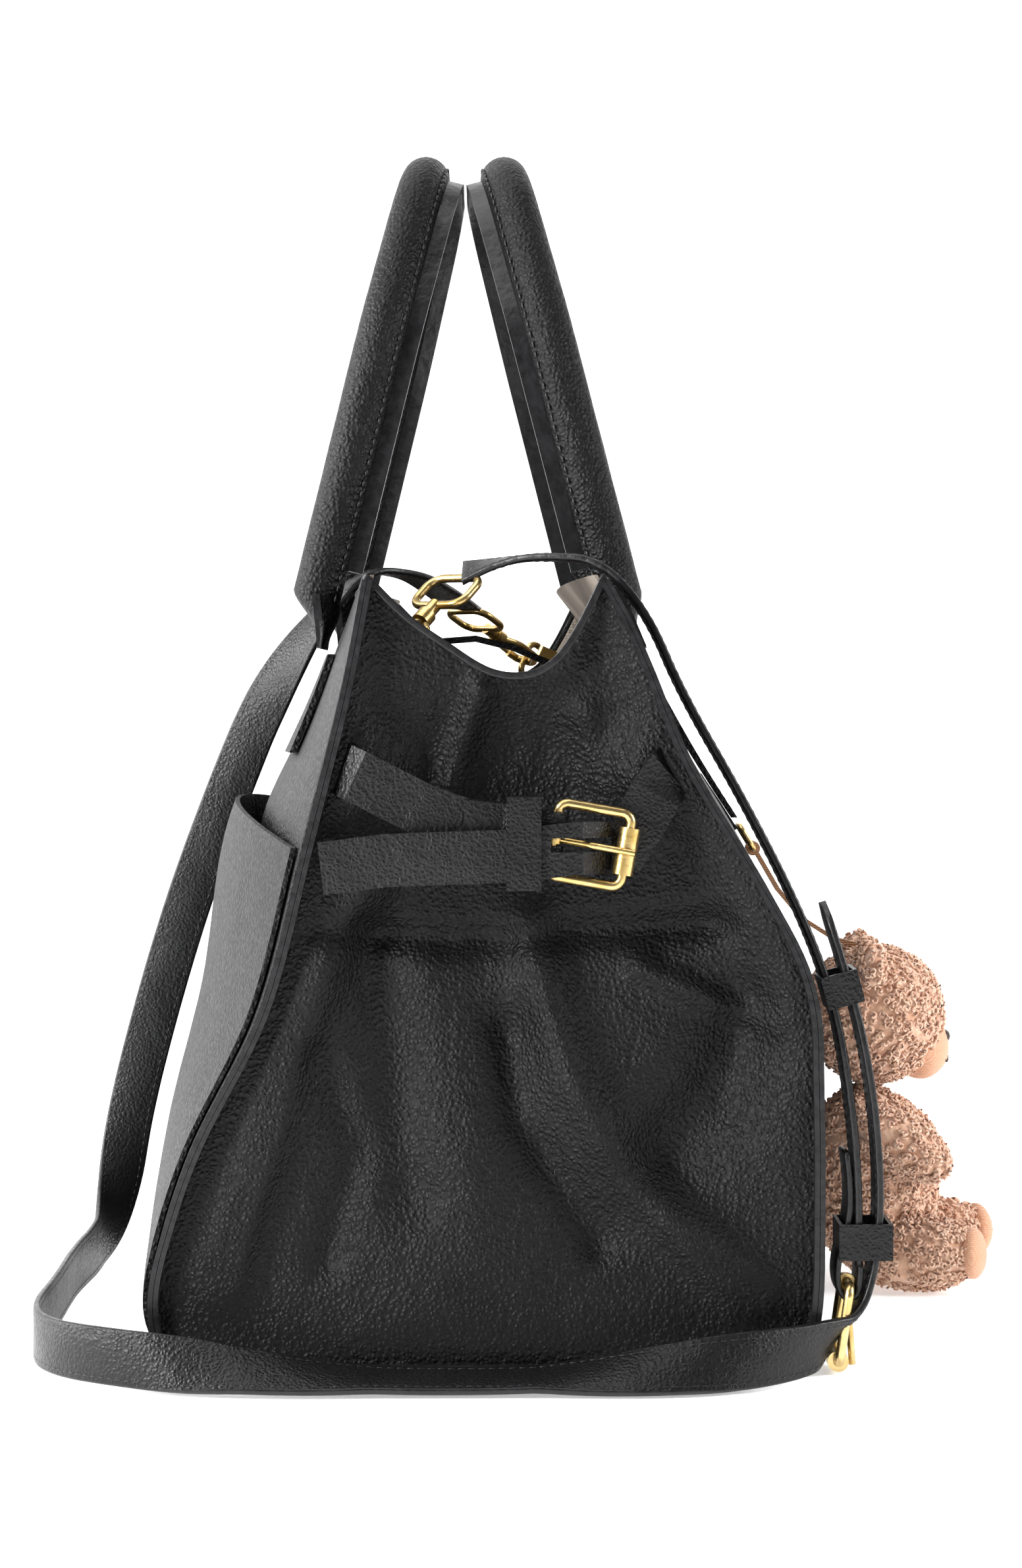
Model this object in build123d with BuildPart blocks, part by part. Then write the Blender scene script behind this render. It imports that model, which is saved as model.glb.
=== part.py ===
from build123d import *
import math
import os

# A leather diaper bag: soft tote body with two rolled handles, a buckled side belt on each gusset,
# a back slip pocket, a closure tab, a clip-on crossbody strap and a plush bear charm.
# Millimetres. X runs along the bag's width, -Y is the front, +Y the back, +Z up.
# The origin is the middle of the base, on the surface that the bag stands on.

os.makedirs("parts", exist_ok=True)

# Driving dimensions
HALF_WIDTH = 190.0        # middle of the bag to the outer face of a gusset
LEATHER = 1.8             # one layer of leather
TOP = 289.0               # top edge of the front and back panels
STRAP_WIDTH = 20.0        # crossbody strap
STRAP_THICK = 2.6
BELT_WIDTH = 19.0         # side belts
BELT_THICK = 2.0
WIRE = 1.8                # wire radius of the belt buckles
CLEAR = 0.3               # gap between pieces that only lie on each other

# Heights with the outer face's y at the gusset seams and at the middle of the width
BACK_WALL = [(10, 119, 125), (30, 121.5, 129), (77, 108, 122), (130, 82, 107),
             (192, 65.5, 94), (247, 52, 68), (TOP, 44, 50)]
FRONT_WALL = [(10, -119, -123), (30, -122, -127), (112, -122, -132), (141, -119, -127),
              (174, -103, -112), (221, -75, -82), (264, -57, -54), (TOP, -43.5, -34)]
DIP = [(28.8, 274), (14.8, 264), (-1.7, 254), (-15.7, 252.9), (-26, 258.6), (-34, 270)]
SPREAD = (-1.0, -0.5, 0.0, 0.5, 1.0)      # where a panel's sections stand across the width

HANDLE_X = 95.0           # a handle's legs, from the middle
ROLL = 9.5                # radius of a handle's roll
CORE = 7.8                # radius of the rope inside it
BACK_HINGE = (63.5, 265.0)
FRONT_HINGE = (-61.0, 265.0)


def save(name, part):
    part.label = name
    export_step(part, f"parts/{name}.step")


def between(table, z, column):
    """Catmull-Rom curve through one column of a wall's table."""
    last = len(table) - 1
    i = next((k for k in range(last) if z <= table[k + 1][0]), last - 1)
    p = [table[min(max(k, 0), last)] for k in (i - 1, i, i + 1, i + 2)]
    span = p[2][0] - p[1][0]
    t = (z - p[1][0]) / span
    slope_in = (p[2][column] - p[0][column]) / (p[2][0] - p[0][0]) * span
    slope_out = (p[3][column] - p[1][column]) / (p[3][0] - p[1][0]) * span
    a, b = p[1][column], p[2][column]
    return ((2 * t**3 - 3 * t**2 + 1) * a + (t**3 - 2 * t**2 + t) * slope_in
            + (3 * t**2 - 2 * t**3) * b + (t**3 - t**2) * slope_out)


def wall(table, x, z):
    """Outer face of the front or back panel: the middle stands further out than the seams."""
    full = 1 - (x / HALF_WIDTH) ** 2
    return between(table, z, 1) * (1 - full) + between(table, z, 2) * full


def heights(low, high, steps=14):
    return [low + (high - low) * k / steps for k in range(steps + 1)]


def wall_sheet(table, half_x, low, high, inset, thick, steps=14):
    """A sheet that follows a wall, inset from its outer face; low, high and inset may vary with x."""
    inward = -1 if table is BACK_WALL else 1
    with BuildPart() as sheet:
        for k in SPREAD:
            x = k * half_x
            outer = [(wall(table, x, z) + inward * inset(x, z), z) for z in heights(low, high(x), steps)]
            inner = [(y + inward * thick, z) for y, z in outer]
            with BuildSketch(Plane.YZ.offset(x)):
                with BuildLine():
                    face = Spline(*outer)
                    back = Spline(*inner)
                    Line(face @ 0, back @ 0)
                    Line(face @ 1, back @ 1)
                make_face()
        loft()
    return sheet.part


def flat_top(z):
    return lambda x: z


def flat_inset(d):
    return lambda x, z: d


def ribbon(stations, width, thick):
    """A flat strap through (point, direction of its width) stations, straight between them."""
    points = [Vector(*p) for p, _ in stations]
    runs = [(b - a).normalized() for a, b in zip(points, points[1:])]
    with BuildPart() as strap:
        for i, (_, across) in enumerate(stations):
            along = (runs[max(i - 1, 0)] + runs[min(i, len(runs) - 1)]).normalized()
            side = Vector(*across) - along * Vector(*across).dot(along)
            with BuildSketch(Plane(points[i], x_dir=side, z_dir=along)):
                Rectangle(width, thick)
        loft(ruled=True)
    return strap.part


def eased(points):
    """Radii for a route's corners: 0.45 of the shorter run over the tangent of half the turn."""
    radii = []
    vectors = [Vector(*p) for p in points]
    for a, b, c in zip(vectors, vectors[1:], vectors[2:]):
        turn = math.radians((b - a).get_angle(c - b))
        radii.append(0.45 * min((b - a).length, (c - b).length) / math.tan(turn / 2))
    return radii


def strap_route(name, route, spacing=9.0):
    """Stations along a strap's route of straight runs and tangent arcs, with the width turned evenly."""
    points = [p for p, _ in route]
    radii = eased(points)
    path = FilletPolyline(*points, radius=radii)
    print(name, "length", round(path.length, 1), "radii", [round(r) for r in radii])
    runs = [0.0]
    for a, b in zip(points, points[1:]):
        runs.append(runs[-1] + (Vector(*b) - Vector(*a)).length)
    count = round(path.length / spacing)
    stations = []
    for k in range(count + 1):
        at = runs[-1] * k / count
        i = max(j for j in range(len(runs) - 1) if runs[j] <= at)
        share = (at - runs[i]) / (runs[i + 1] - runs[i])
        across = Vector(*route[i][1]) * (1 - share) + Vector(*route[i + 1][1]) * share
        stations.append((tuple(path.position_at(k / count)), tuple(across)))
    return stations


# ---------------------------------------------------------------- body panels
GUSSET_IN = HALF_WIDTH - LEATHER
PANEL_END = GUSSET_IN - 0.2

save("front_panel", wall_sheet(FRONT_WALL, PANEL_END, 10, flat_top(TOP), flat_inset(0), LEATHER))
save("back_panel", wall_sheet(BACK_WALL, PANEL_END, 10, flat_top(TOP), flat_inset(0), LEATHER))

BASE_FLAT = 100.0         # half depth of the flat of the base
BASE_EDGE = 9.6           # height where the base's turned-up edges meet the panels
with BuildPart() as base_panel:
    with BuildSketch(Plane.YZ.offset(-PANEL_END)):
        with BuildLine():
            Polyline((-119, BASE_EDGE), (-112, 2.5), (-BASE_FLAT, 0), (BASE_FLAT, 0), (112, 2.5),
                     (119, BASE_EDGE), (117, BASE_EDGE), (111, 4.4), (BASE_FLAT, 2), (-BASE_FLAT, 2),
                     (-111, 4.4), (-117, BASE_EDGE), (-119, BASE_EDGE))
        make_face()
    extrude(amount=2 * PANEL_END)
save("base_panel", base_panel.part)

BOARD = (2 * HALF_WIDTH - 20, 2 * BASE_FLAT - 6, 2.5)
with BuildPart(Plane.XY.offset(2 + CLEAR)) as base_board:
    Box(*BOARD, align=(Align.CENTER, Align.CENTER, Align.MIN))
save("base_board", base_board.part)


def gusset_outline(dipped, inset=0.0):
    """The gusset's edge: back seam down, base, front seam up, then the dipped or straight top."""
    back = [(wall(BACK_WALL, HALF_WIDTH, z) - inset, z) for z in heights(10, TOP - 2)]
    front = [(wall(FRONT_WALL, HALF_WIDTH, z) + inset, z) for z in heights(10, TOP - 2)]
    with BuildSketch() as outline:
        with BuildLine():
            Spline(*reversed(back))
            ThreePointArc(back[0], (112 - inset / 2, 2.5 + inset), (BASE_FLAT, inset))
            Line((BASE_FLAT, inset), (-BASE_FLAT, inset))
            ThreePointArc((-BASE_FLAT, inset), (inset / 2 - 112, 2.5 + inset), front[0])
            Spline(*front)
            if dipped:
                Spline(front[-1], *reversed(DIP), back[-1])
            else:
                Line(front[-1], back[-1])
        make_face()
    return outline.sketch


BACK_SLOT = ((50.3, 218.0), -72.0)
FRONT_SLOT = ((-66.3, 218.0), 67.0)
with BuildPart() as left_gusset:
    with BuildSketch(Plane.YZ.offset(-HALF_WIDTH)):
        add(gusset_outline(dipped=True))
        for centre, angle in (BACK_SLOT, FRONT_SLOT):
            with Locations(centre):
                SlotOverall(26, 5.4, rotation=angle, mode=Mode.SUBTRACT)
    extrude(amount=LEATHER)
save("left_gusset", left_gusset.part)

save("right_gusset", mirror(left_gusset.part, about=Plane.YZ))

WELT_OUT = 5.0            # how far the turned seam edges stand out from a gusset


def seam_edge(inset, gap):
    """One turned leather edge round the gusset, open along the top."""
    with BuildPart() as edge:
        with BuildSketch(Plane.YZ.offset(-HALF_WIDTH - WELT_OUT)):
            add(gusset_outline(dipped=False, inset=inset))
            add(gusset_outline(dipped=False, inset=inset + LEATHER), mode=Mode.SUBTRACT)
            with Locations((0, TOP)):
                Rectangle(gap, 60, mode=Mode.SUBTRACT)
        extrude(amount=WELT_OUT - 0.1)
    return edge.part


with BuildPart() as left_seam_edges:
    add(seam_edge(0, 80))
    add(seam_edge(LEATHER + 0.2, 74))
save("left_seam_edges", left_seam_edges.part)

save("right_seam_edges", mirror(left_seam_edges.part, about=Plane.YZ))

# ---------------------------------------------------------------- inside
FACING_LOW = 212.0
for name, table in (("front_facing", FRONT_WALL), ("back_facing", BACK_WALL)):
    save(name, wall_sheet(table, PANEL_END - 1, FACING_LOW, flat_top(TOP), flat_inset(LEATHER + 0.8), 1.3, 5))

LINING = 0.8
LINING_TOP = FACING_LOW - 1


def bag_space(half_x, inset, low, high):
    """The room between the front and back walls, inset from their outer faces."""
    with BuildPart() as space:
        for k in SPREAD:
            x = k * half_x
            back = [(wall(BACK_WALL, x, z) - inset, z) for z in heights(low, high)]
            front = [(wall(FRONT_WALL, x, z) + inset, z) for z in heights(low, high)]
            with BuildSketch(Plane.YZ.offset(x)):
                with BuildLine():
                    Spline(*back)
                    Spline(*front)
                    Line(back[0], front[0])
                    Line(back[-1], front[-1])
                make_face()
        loft()
    return space.part


with BuildPart() as lining:
    add(bag_space(GUSSET_IN - 1.5, 4.6, 10, LINING_TOP))
    add(bag_space(GUSSET_IN - 1.5 - LINING, 4.6 + LINING, 10 + LINING, LINING_TOP + 4), mode=Mode.SUBTRACT)
save("lining", lining.part)

# ---------------------------------------------------------------- back slip pocket
POCKET_TOP = 203.0


def pocket_top(x):
    return POCKET_TOP - 14 * (x / HALF_WIDTH) ** 2


def pocket_gap(x, z):
    """How far the pocket's inner face stands off the back panel, as a negative inset."""
    return -(0.4 + 11 * (1 - (x / HALF_WIDTH) ** 2) * z / POCKET_TOP) - LEATHER


save("back_pocket", wall_sheet(BACK_WALL, PANEL_END - 4, 14, pocket_top, pocket_gap, LEATHER))

# ---------------------------------------------------------------- handles
TAB_WIDTH = 30.0
TAB_THICK = 2.6


def handle_tab(table, middle_x, low, high):
    """A flat tab sewn on the outside of a panel, following its curve across and down."""
    outward = 1 if table is BACK_WALL else -1
    with BuildPart() as tab:
        for x in (middle_x - TAB_WIDTH / 2, middle_x, middle_x + TAB_WIDTH / 2):
            near = [(wall(table, x, z) + outward * 0.4, z) for z in heights(low, high, 4)]
            far = [(y + outward * TAB_THICK, z) for y, z in near]
            with BuildSketch(Plane.YZ.offset(x)):
                with BuildLine():
                    Spline(*near)
                    Spline(*far)
                    Line(near[0], far[0])
                    Line(near[-1], far[-1])
                make_face()
        loft()
    return tab.part


TABS = {"back": (BACK_WALL, 223.0, 261.0), "front": (FRONT_WALL, 198.0, 261.0)}
for face, (table, low, high) in TABS.items():
    with BuildPart() as tabs:
        for sign in (-1, 1):
            add(handle_tab(table, sign * HANDLE_X, low, high))
    save(f"{face}_handle_tabs", tabs.part)


def handle(face, hinge, foot, top):
    """Roll, rope core, and the seam leather that ends in flat feet; foot and top are (y, z) of the roll."""
    rise = Vector(0, top[0] - foot[0], top[1] - foot[1])
    plane = Plane((0, *foot), x_dir=(1, 0, 0), z_dir=Vector(1, 0, 0).cross(rise))
    inward = -1 if face == "front" else 1
    height = rise.length
    corners = [(-HANDLE_X, 0), (-90, 0.62 * height), (-56, height), (56, height), (90, 0.62 * height),
               (HANDLE_X, 0)]
    with BuildPart() as wrap:
        with BuildLine(plane):
            path = FilletPolyline(*corners, radius=[70, 44, 44, 70])
        start = Plane(path @ 0, z_dir=path % 0, x_dir=(1, 0, 0))
        with BuildSketch(start):
            Circle(ROLL)
            Circle(CORE + 0.2, mode=Mode.SUBTRACT)
        sweep(path=path)
    flange_low = 12.0
    flange_corners = [(-94.6, flange_low)] + corners[1:-1] + [(94.6, flange_low)]
    with BuildPart() as seam_leather:
        with BuildLine(plane):
            edge = FilletPolyline(*flange_corners, radius=[70, 44, 44, 70])
        begin = Plane(edge @ 0, z_dir=edge % 0, x_dir=(1, 0, 0))
        with BuildSketch(begin):
            with Locations((0, -inward * face_sign(begin) * (ROLL + 2.8))):
                Rectangle(4.0, 6.0)
        sweep(path=edge)
        for sign in (-1, 1):
            x = sign * HANDLE_X
            stations = [((x, hinge[0], hinge[1] - 1.5), (1, 0, 0)), ((x, *blend(hinge, foot, 0.5)), (1, 0, 0)),
                        ((x, *foot), (1, 0, 0))]
            add(ribbon(stations, 22, 3.0))
    with BuildPart() as core:
        with BuildSketch(start):
            Circle(CORE)
        sweep(path=path)
    save(f"{face}_handle_wrap", wrap.part)
    save(f"{face}_handle_seam", seam_leather.part)
    save(f"{face}_handle_core", core.part)


def face_sign(plane):
    """Plus one where the plane's own y axis points to the back."""
    return 1 if plane.y_dir.Y > 0 else -1


def blend(a, b, share):
    return tuple(p * (1 - share) + q * share for p, q in zip(a, b))


handle("back", BACK_HINGE, (65.5, 284.0), (24.0, 455.0))
handle("front", FRONT_HINGE, (-51.2, 285.0), (-7.5, 455.0))

# ---------------------------------------------------------------- side belts
TURN = math.radians(10)
ALONG = (-math.cos(TURN), -math.sin(TURN))      # the buckle's long way, in y and z, towards its roller
ACROSS = (-math.sin(TURN), math.cos(TURN))
FRAME_LONG = 26.5
FRAME_TALL = 26.6
BAR = (-24.5, 194.0)
ROLLER_AT = (BAR[0] + FRAME_LONG * ALONG[0], BAR[1] + FRAME_LONG * ALONG[1])
BAR_OUT = 8.2             # the buckle's plane, out from the gusset
ROLLER_R = 3.8


def out(y, z, level):
    """A point of the left belt, level millimetres out from the left gusset."""
    return (-HALF_WIDTH - level, y, z)


def belt_station(y, z, level, w):
    return (out(y, z, level), (0, *w))


SLOPE_BACK = (-0.305, 0.952)
SLOPE_FRONT = (0.40, 0.92)
FOLD = [(BAR[0], 5.2), (BAR[0] - 2.2, 6.1), (BAR[0] - 3.1, BAR_OUT), (BAR[0] - 2.2, 10.3), (BAR[0], 11.2)]

with BuildPart() as left_belt_buckle_strap:
    run = [belt_station(52.0, 219.2, -2.2, SLOPE_BACK), belt_station(50.8, 218.4, 1.2, SLOPE_BACK),
           belt_station(46.5, 216.4, 4.8, SLOPE_BACK), belt_station(38, 212.0, 5.2, (-0.4, 0.92)),
           belt_station(22, 203.8, 5.2, (-0.38, 0.92)), belt_station(8, 199.0, 5.2, (-0.2, 0.98)),
           belt_station(-8, 197.0, 5.2, ACROSS)]
    fold = [belt_station(y, 194.0, level, ACROSS) for y, level in FOLD]
    tail = [belt_station(-15, 195.8, 9.6, ACROSS), belt_station(-6, 197.0, 7.6, ACROSS),
            belt_station(8, 198.4, 7.5, (-0.2, 0.98))]
    add(ribbon(run + fold + tail, BELT_WIDTH, BELT_THICK))
    with Locations(out(BAR[0] - 1, BAR[1], BAR_OUT)):
        Box(14, 17, 5.4, mode=Mode.SUBTRACT)
save("left_belt_buckle_strap", left_belt_buckle_strap.part)

with BuildPart() as left_belt_tip_strap:
    tip_run = [belt_station(-67.2, 218.2, -2.2, SLOPE_FRONT), belt_station(-66.0, 217.0, 1.0, (0.45, 0.9)),
               belt_station(-61.5, 210.0, 2.9, (0.55, 0.83)), belt_station(-55.5, 199.0, 2.7, (0.32, 0.95)),
               belt_station(-50.6, 190.0, 2.5, ACROSS), belt_station(-45.5, 190.0, 3.6, ACROSS),
               belt_station(-40, 190.8, 8.6, ACROSS), belt_station(-34.5, 190.8, 12.9, ACROSS),
               belt_station(-28, 190.2, 13.9, ACROSS), belt_station(-10, 188.0, 13.9, (0, 1)),
               belt_station(12, 187.2, 12.6, (0, 1)), belt_station(36, 186.2, 11.2, (0.05, 1)),
               belt_station(59, 183.2, 10.0, (0.12, 1))]
    add(ribbon(tip_run, BELT_WIDTH, BELT_THICK))
    with Locations(out(-34.5, BAR[1] - 2.2, 11)):
        Box(26, 22, 5.0, mode=Mode.SUBTRACT)
save("left_belt_tip_strap", left_belt_tip_strap.part)

KEEPER = (12.4, 33.4, 14.4)     # along the belt, tall, deep
with BuildPart() as left_belt_keeper:
    with BuildSketch(Plane.XZ.offset(7.6)):
        with Locations((-HALF_WIDTH - 9.6, 192.3)):
            Rectangle(KEEPER[2], KEEPER[1])
            Rectangle(KEEPER[2] - 2.6, KEEPER[1] - 2.6, mode=Mode.SUBTRACT)
    extrude(amount=KEEPER[0])
save("left_belt_keeper", left_belt_keeper.part)


BUCKLE = Plane((-HALF_WIDTH - BAR_OUT, (BAR[0] + ROLLER_AT[0]) / 2, (BAR[1] + ROLLER_AT[1]) / 2),
               x_dir=(0, *ALONG), z_dir=(-1, 0, 0))


def ring_frame(plane, long, tall, wire, corner):
    """A closed wire frame: a circle swept round a rounded rectangle, centred on the plane."""
    with BuildPart() as frame:
        with BuildSketch(plane, mode=Mode.PRIVATE) as outline:
            RectangleRounded(long, tall, corner)
        loop = outline.sketch.face().outer_wire()
        with BuildSketch(Plane(loop @ 0, x_dir=plane.z_dir, z_dir=loop % 0)):
            Circle(wire)
        sweep(path=loop)
    return frame.part


left_belt_buckle = ring_frame(BUCKLE, FRAME_LONG, FRAME_TALL, WIRE, 3.6)
save("left_belt_buckle", left_belt_buckle)


def roller(centre, axis, length, hole):
    """A sheet-metal roller that turns on the buckle's outer bar."""
    with BuildPart() as tube:
        with BuildSketch(Plane(Vector(*centre) - Vector(*axis) * (length / 2), z_dir=axis)):
            Circle(ROLLER_R)
            Circle(hole, mode=Mode.SUBTRACT)
        extrude(amount=length)
    return tube.part


def prong(bar, tip, axis):
    """A tongue pinned round the inner bar, with its tip resting over the roller."""
    bar, tip, axis = Vector(*bar), Vector(*tip), Vector(*axis)
    start = bar + (tip - bar).normalized() * (WIRE + 0.9)
    with BuildPart() as tongue:
        with BuildSketch(Plane(bar - axis * 1.6, z_dir=axis)):
            Circle(WIRE + 1.3)
            Circle(WIRE + 0.06, mode=Mode.SUBTRACT)
        extrude(amount=3.2)
        with BuildSketch(Plane(start, z_dir=(tip - start))):
            Circle(1.25)
        extrude(amount=(tip - start).length)
    return tongue.part


LEFT_BAR = out(*BAR, BAR_OUT)
LEFT_ROLLER = out(*ROLLER_AT, BAR_OUT)
PRONG_TIP = out(ROLLER_AT[0] - 3.0, ROLLER_AT[1] - 0.5, BAR_OUT + ROLLER_R + 1.9)
left_belt_roller = roller(LEFT_ROLLER, (0, *ACROSS), 17.0, WIRE + 0.07)
save("left_belt_roller", left_belt_roller)
left_belt_prong = prong(LEFT_BAR, PRONG_TIP, (0, *ACROSS))
save("left_belt_prong", left_belt_prong)

left_belt = {"buckle_strap": left_belt_buckle_strap.part, "tip_strap": left_belt_tip_strap.part,
             "keeper": left_belt_keeper.part, "buckle": left_belt_buckle, "roller": left_belt_roller,
             "prong": left_belt_prong}
for piece, solid in left_belt.items():
    save(f"right_belt_{piece}", mirror(solid, about=Plane.YZ))

# ---------------------------------------------------------------- closure tab
CLOSURE_ROOT = wall(BACK_WALL, 0, 244)
CLOSURE_HINGE = (CLOSURE_ROOT - 15.5, 252.0)
CLOSURE_ARCH = [(CLOSURE_HINGE[0] - 0.6, 253.2), (36, 262), (22, 267), (4, 268.4), (-12, 264.5), (-28, 257.5),
                (-45, 248.5), (-60, 238), (-67.5, 226)]


def centre_strap(profile, width):
    """A strap across the middle of the bag, through (y, z) points."""
    return ribbon([((0, y, z), (1, 0, 0)) for y, z in profile], width, 2.4)


save("closure_anchor", centre_strap([(CLOSURE_ROOT - 7.5, 226), (CLOSURE_ROOT - 10.1, 238),
                                     (CLOSURE_ROOT - 14.7, 250)], 27))
save("closure_tab", centre_strap(CLOSURE_ARCH, 25))

with BuildPart() as closure_plate:
    with BuildSketch(Plane((0, -25.5, 260.1), x_dir=(1, 0, 0), z_dir=(0, -0.42, 0.91))):
        RectangleRounded(14, 9, 1.5)
    extrude(amount=4.2)
save("closure_plate", closure_plate.part)

SNAP = Plane((0, -64.3, 231.1), x_dir=(1, 0, 0), z_dir=(0, -0.835, 0.55))
with BuildPart() as closure_snap_cap:
    with BuildSketch(SNAP.offset(1.4)):
        Circle(7.5)
    extrude(amount=1.8)
save("closure_snap_cap", closure_snap_cap.part)

with BuildPart() as closure_snap_base:
    with BuildSketch(SNAP.offset(3.5)):
        Circle(7.5)
    extrude(amount=1.8)
save("closure_snap_base", closure_snap_base.part)

# ---------------------------------------------------------------- clasps at the crossbody strap's ends
EYE = 17.0                # length of the strap ring
HUB = 22.5                # where the turning hook begins, from the strap end of the chain
HOOK_END = 50.6
RING_APEX = 44.6
LEFT_CHAIN = ((-147.0, 10.0, 289.0), (-181.0, 38.5, 255.0))
RIGHT_CHAIN = ((139.0, 10.0, 283.0), (178.0, -31.0, 253.0))


def chain_plane(start, end):
    """Local x is the strap's width, local y runs down the chain from the strap to the bag."""
    down = (Vector(*end) - Vector(*start)).normalized()
    side = Vector(0, 0, 1).cross(down).normalized()
    return Plane(start, x_dir=side, z_dir=side.cross(down))


def strap_ring(plane):
    """The loop that the strap's end folds round, with the pin that the hook turns on."""
    centre = plane.from_local_coords((0, EYE / 2, 0))
    with BuildPart() as ring:
        add(ring_frame(Plane(centre, x_dir=plane.y_dir, z_dir=plane.z_dir), EYE, 24.5, 1.6, 6.0))
        with BuildSketch(Plane(plane.from_local_coords((0, EYE - 0.6, 0)), z_dir=plane.y_dir)):
            Circle(2.6)
        extrude(amount=HUB - 0.2 - EYE + 0.6)
    return ring.part


def hook(plane):
    """The clasp's barrel and bent hook."""
    with BuildPart() as clasp:
        with BuildSketch(Plane(plane.from_local_coords((0, HUB, 0)), z_dir=plane.y_dir)):
            Circle(3.6)
        extrude(amount=5.0)
        with BuildLine(plane):
            bow = FilletPolyline((0, HUB + 4), (-7, HUB + 10), (-7, HOOK_END - 7), (0, HOOK_END),
                                 (6.5, HOOK_END - 5), (6.8, HOOK_END - 11), radius=[4, 4, 3, 2])
        with BuildSketch(Plane(bow @ 0, z_dir=bow % 0)):
            Circle(1.8)
        sweep(path=bow)
    return clasp.part


def gate(plane):
    """The sprung bar that shuts the hook's mouth."""
    with BuildPart() as bar:
        with BuildLine(plane):
            rod = Polyline((3.6, HUB + 6.6), (6.2, HUB + 9.0), (6.8, HOOK_END - 11.8))
        with BuildSketch(Plane(rod @ 0, z_dir=rod % 0)):
            Circle(1.1)
        sweep(path=rod, transition=Transition.ROUND)
    return bar.part


def dee_ring(plane, length):
    """The bag's own ring: a wire loop square to the hook, held in a leather tab at its far end."""
    middle = (RING_APEX + length) / 2
    centre = plane.from_local_coords((0, middle, 0))
    return ring_frame(Plane(centre, x_dir=plane.y_dir, z_dir=plane.x_dir), length - RING_APEX, 17.0, 1.5, 4.5)


def dee_tab(plane, length):
    """A leather loop round the ring's far bar, with its tail sewn to the gusset."""
    end = plane.from_local_coords((0, length, 0))
    turned = [(end + plane.y_dir * (3.0 * math.cos(a)) + plane.x_dir * (3.0 * math.sin(a)))
              for a in (math.radians(d) for d in (-90, -45, 0, 45, 90))]
    legs = [end - plane.x_dir * 3.0 - plane.y_dir * 1.0] + turned + [end + plane.x_dir * 3.0 - plane.y_dir * 1.0]
    return ribbon([(tuple(p), tuple(plane.z_dir)) for p in legs], 12, 1.6)


dee_tabs = []
for side, (start, end) in (("left", LEFT_CHAIN), ("right", RIGHT_CHAIN)):
    plane = chain_plane(start, end)
    length = (Vector(*end) - Vector(*start)).length
    save(f"{side}_strap_ring", strap_ring(plane))
    save(f"{side}_clasp_hook", hook(plane))
    save(f"{side}_clasp_gate", gate(plane))
    save(f"{side}_dee_ring", dee_ring(plane, length))
    dee_tabs.append(dee_tab(plane, length))
    print(side, "chain", round(length, 1), "axis", [round(v, 4) for v in plane.y_dir],
          "hinge axis", [round(v, 4) for v in plane.z_dir],
          "gate at", [round(v, 2) for v in plane.from_local_coords((3.6, HUB + 6.6, 0))])

with BuildPart() as dee_ring_tabs:
    add(dee_tabs)
save("dee_ring_tabs", dee_ring_tabs.part)

# ---------------------------------------------------------------- crossbody strap
# Each route is a list of (point, direction of the strap's width), from one end to the other.
SHORT_ROUTE = [((-145, 8.3, 291.0), (0.64, 0.76, 0)), ((-147, -5, 295), (0.85, 0.4, 0)),
               ((-154, -22, 297), (1, 0.1, 0)), ((-160, -43, 295), (1, 0, 0)),
               ((-165, -60, 275), (1, 0, 0)), ((-168, -72, 246), (1, 0, 0)),
               ((-172, -95, 206), (1, 0, 0)), ((-176, -115, 166), (1, 0, 0)),
               ((-179, -126.5, 135), (1, 0, 0)), ((-181, -132.9, 97), (1, 0, 0)),
               ((-181, -135.5, 62), (1, 0, 0)), ((-181, -134.9, 39), (1, 0, 0))]
LONG_ROUTE = [((-176.5, -123, 170), (1, 0, 0)), ((-179, -132.6, 140), (1, 0, 0)),
              ((-181, -139.6, 108), (1, 0, 0)), ((-181, -143, 74), (1, 0, 0)),
              ((-181, -142.4, 46), (1, 0, 0)), ((-182, -138.5, 28), (1, 0, 0)),
              ((-188, -129, 15), (0.8, 0.3, -0.5)), ((-202, -120, 11.8), (0.3, 0.1, -0.95)),
              ((-217, -101, 11.4), (0, 0, -1)), ((-225, -68, 9.0), (-0.6, 0, -0.75)),
              ((-221, -18, 4.0), (-0.98, 0, -0.2)), ((-222, 42, 4.2), (-0.98, 0, -0.22)),
              ((-225, 88, 8.4), (-0.75, 0, -0.6)), ((-220, 127, 11.6), (-0.1, 0, -1)),
              ((-200, 156, 11.6), (0, 0, -1)), ((-168, 167, 11.6), (0, 0, -1)),
              ((-108, 165.5, 11.6), (0, 0, -1)), ((-40, 167, 11.6), (0, 0, -1)),
              ((22, 163, 12.0), (0, -0.1, -1)), ((60, 160, 27), (0.15, -0.7, -0.75)),
              ((71, 156, 62), (0, -0.94, -0.33)), ((72, 143, 113), (0, -0.94, -0.33)),
              ((70, 128.5, 160), (0, -0.94, -0.33)), ((69, 112, 204), (0, -0.93, -0.37)),
              ((67, 96, 243), (-0.25, -0.9, -0.36)), ((63, 75, 276), (-0.8, -0.55, -0.15)),
              ((61, 54, 299), (-1, -0.2, 0)), ((78, 34, 298.5), (-0.95, -0.5, 0)),
              ((108, 21, 292), (-0.8, -0.6, 0)), ((136.5, 11, 284.6), (-0.725, -0.689, 0))]
STRAP_X = -181.0
STRAP_BAR = (-131.5, 32.0)
STRAP_ROLLER = (-127.6, 4.6)

short_stations = strap_route("short_strap", SHORT_ROUTE)

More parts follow.
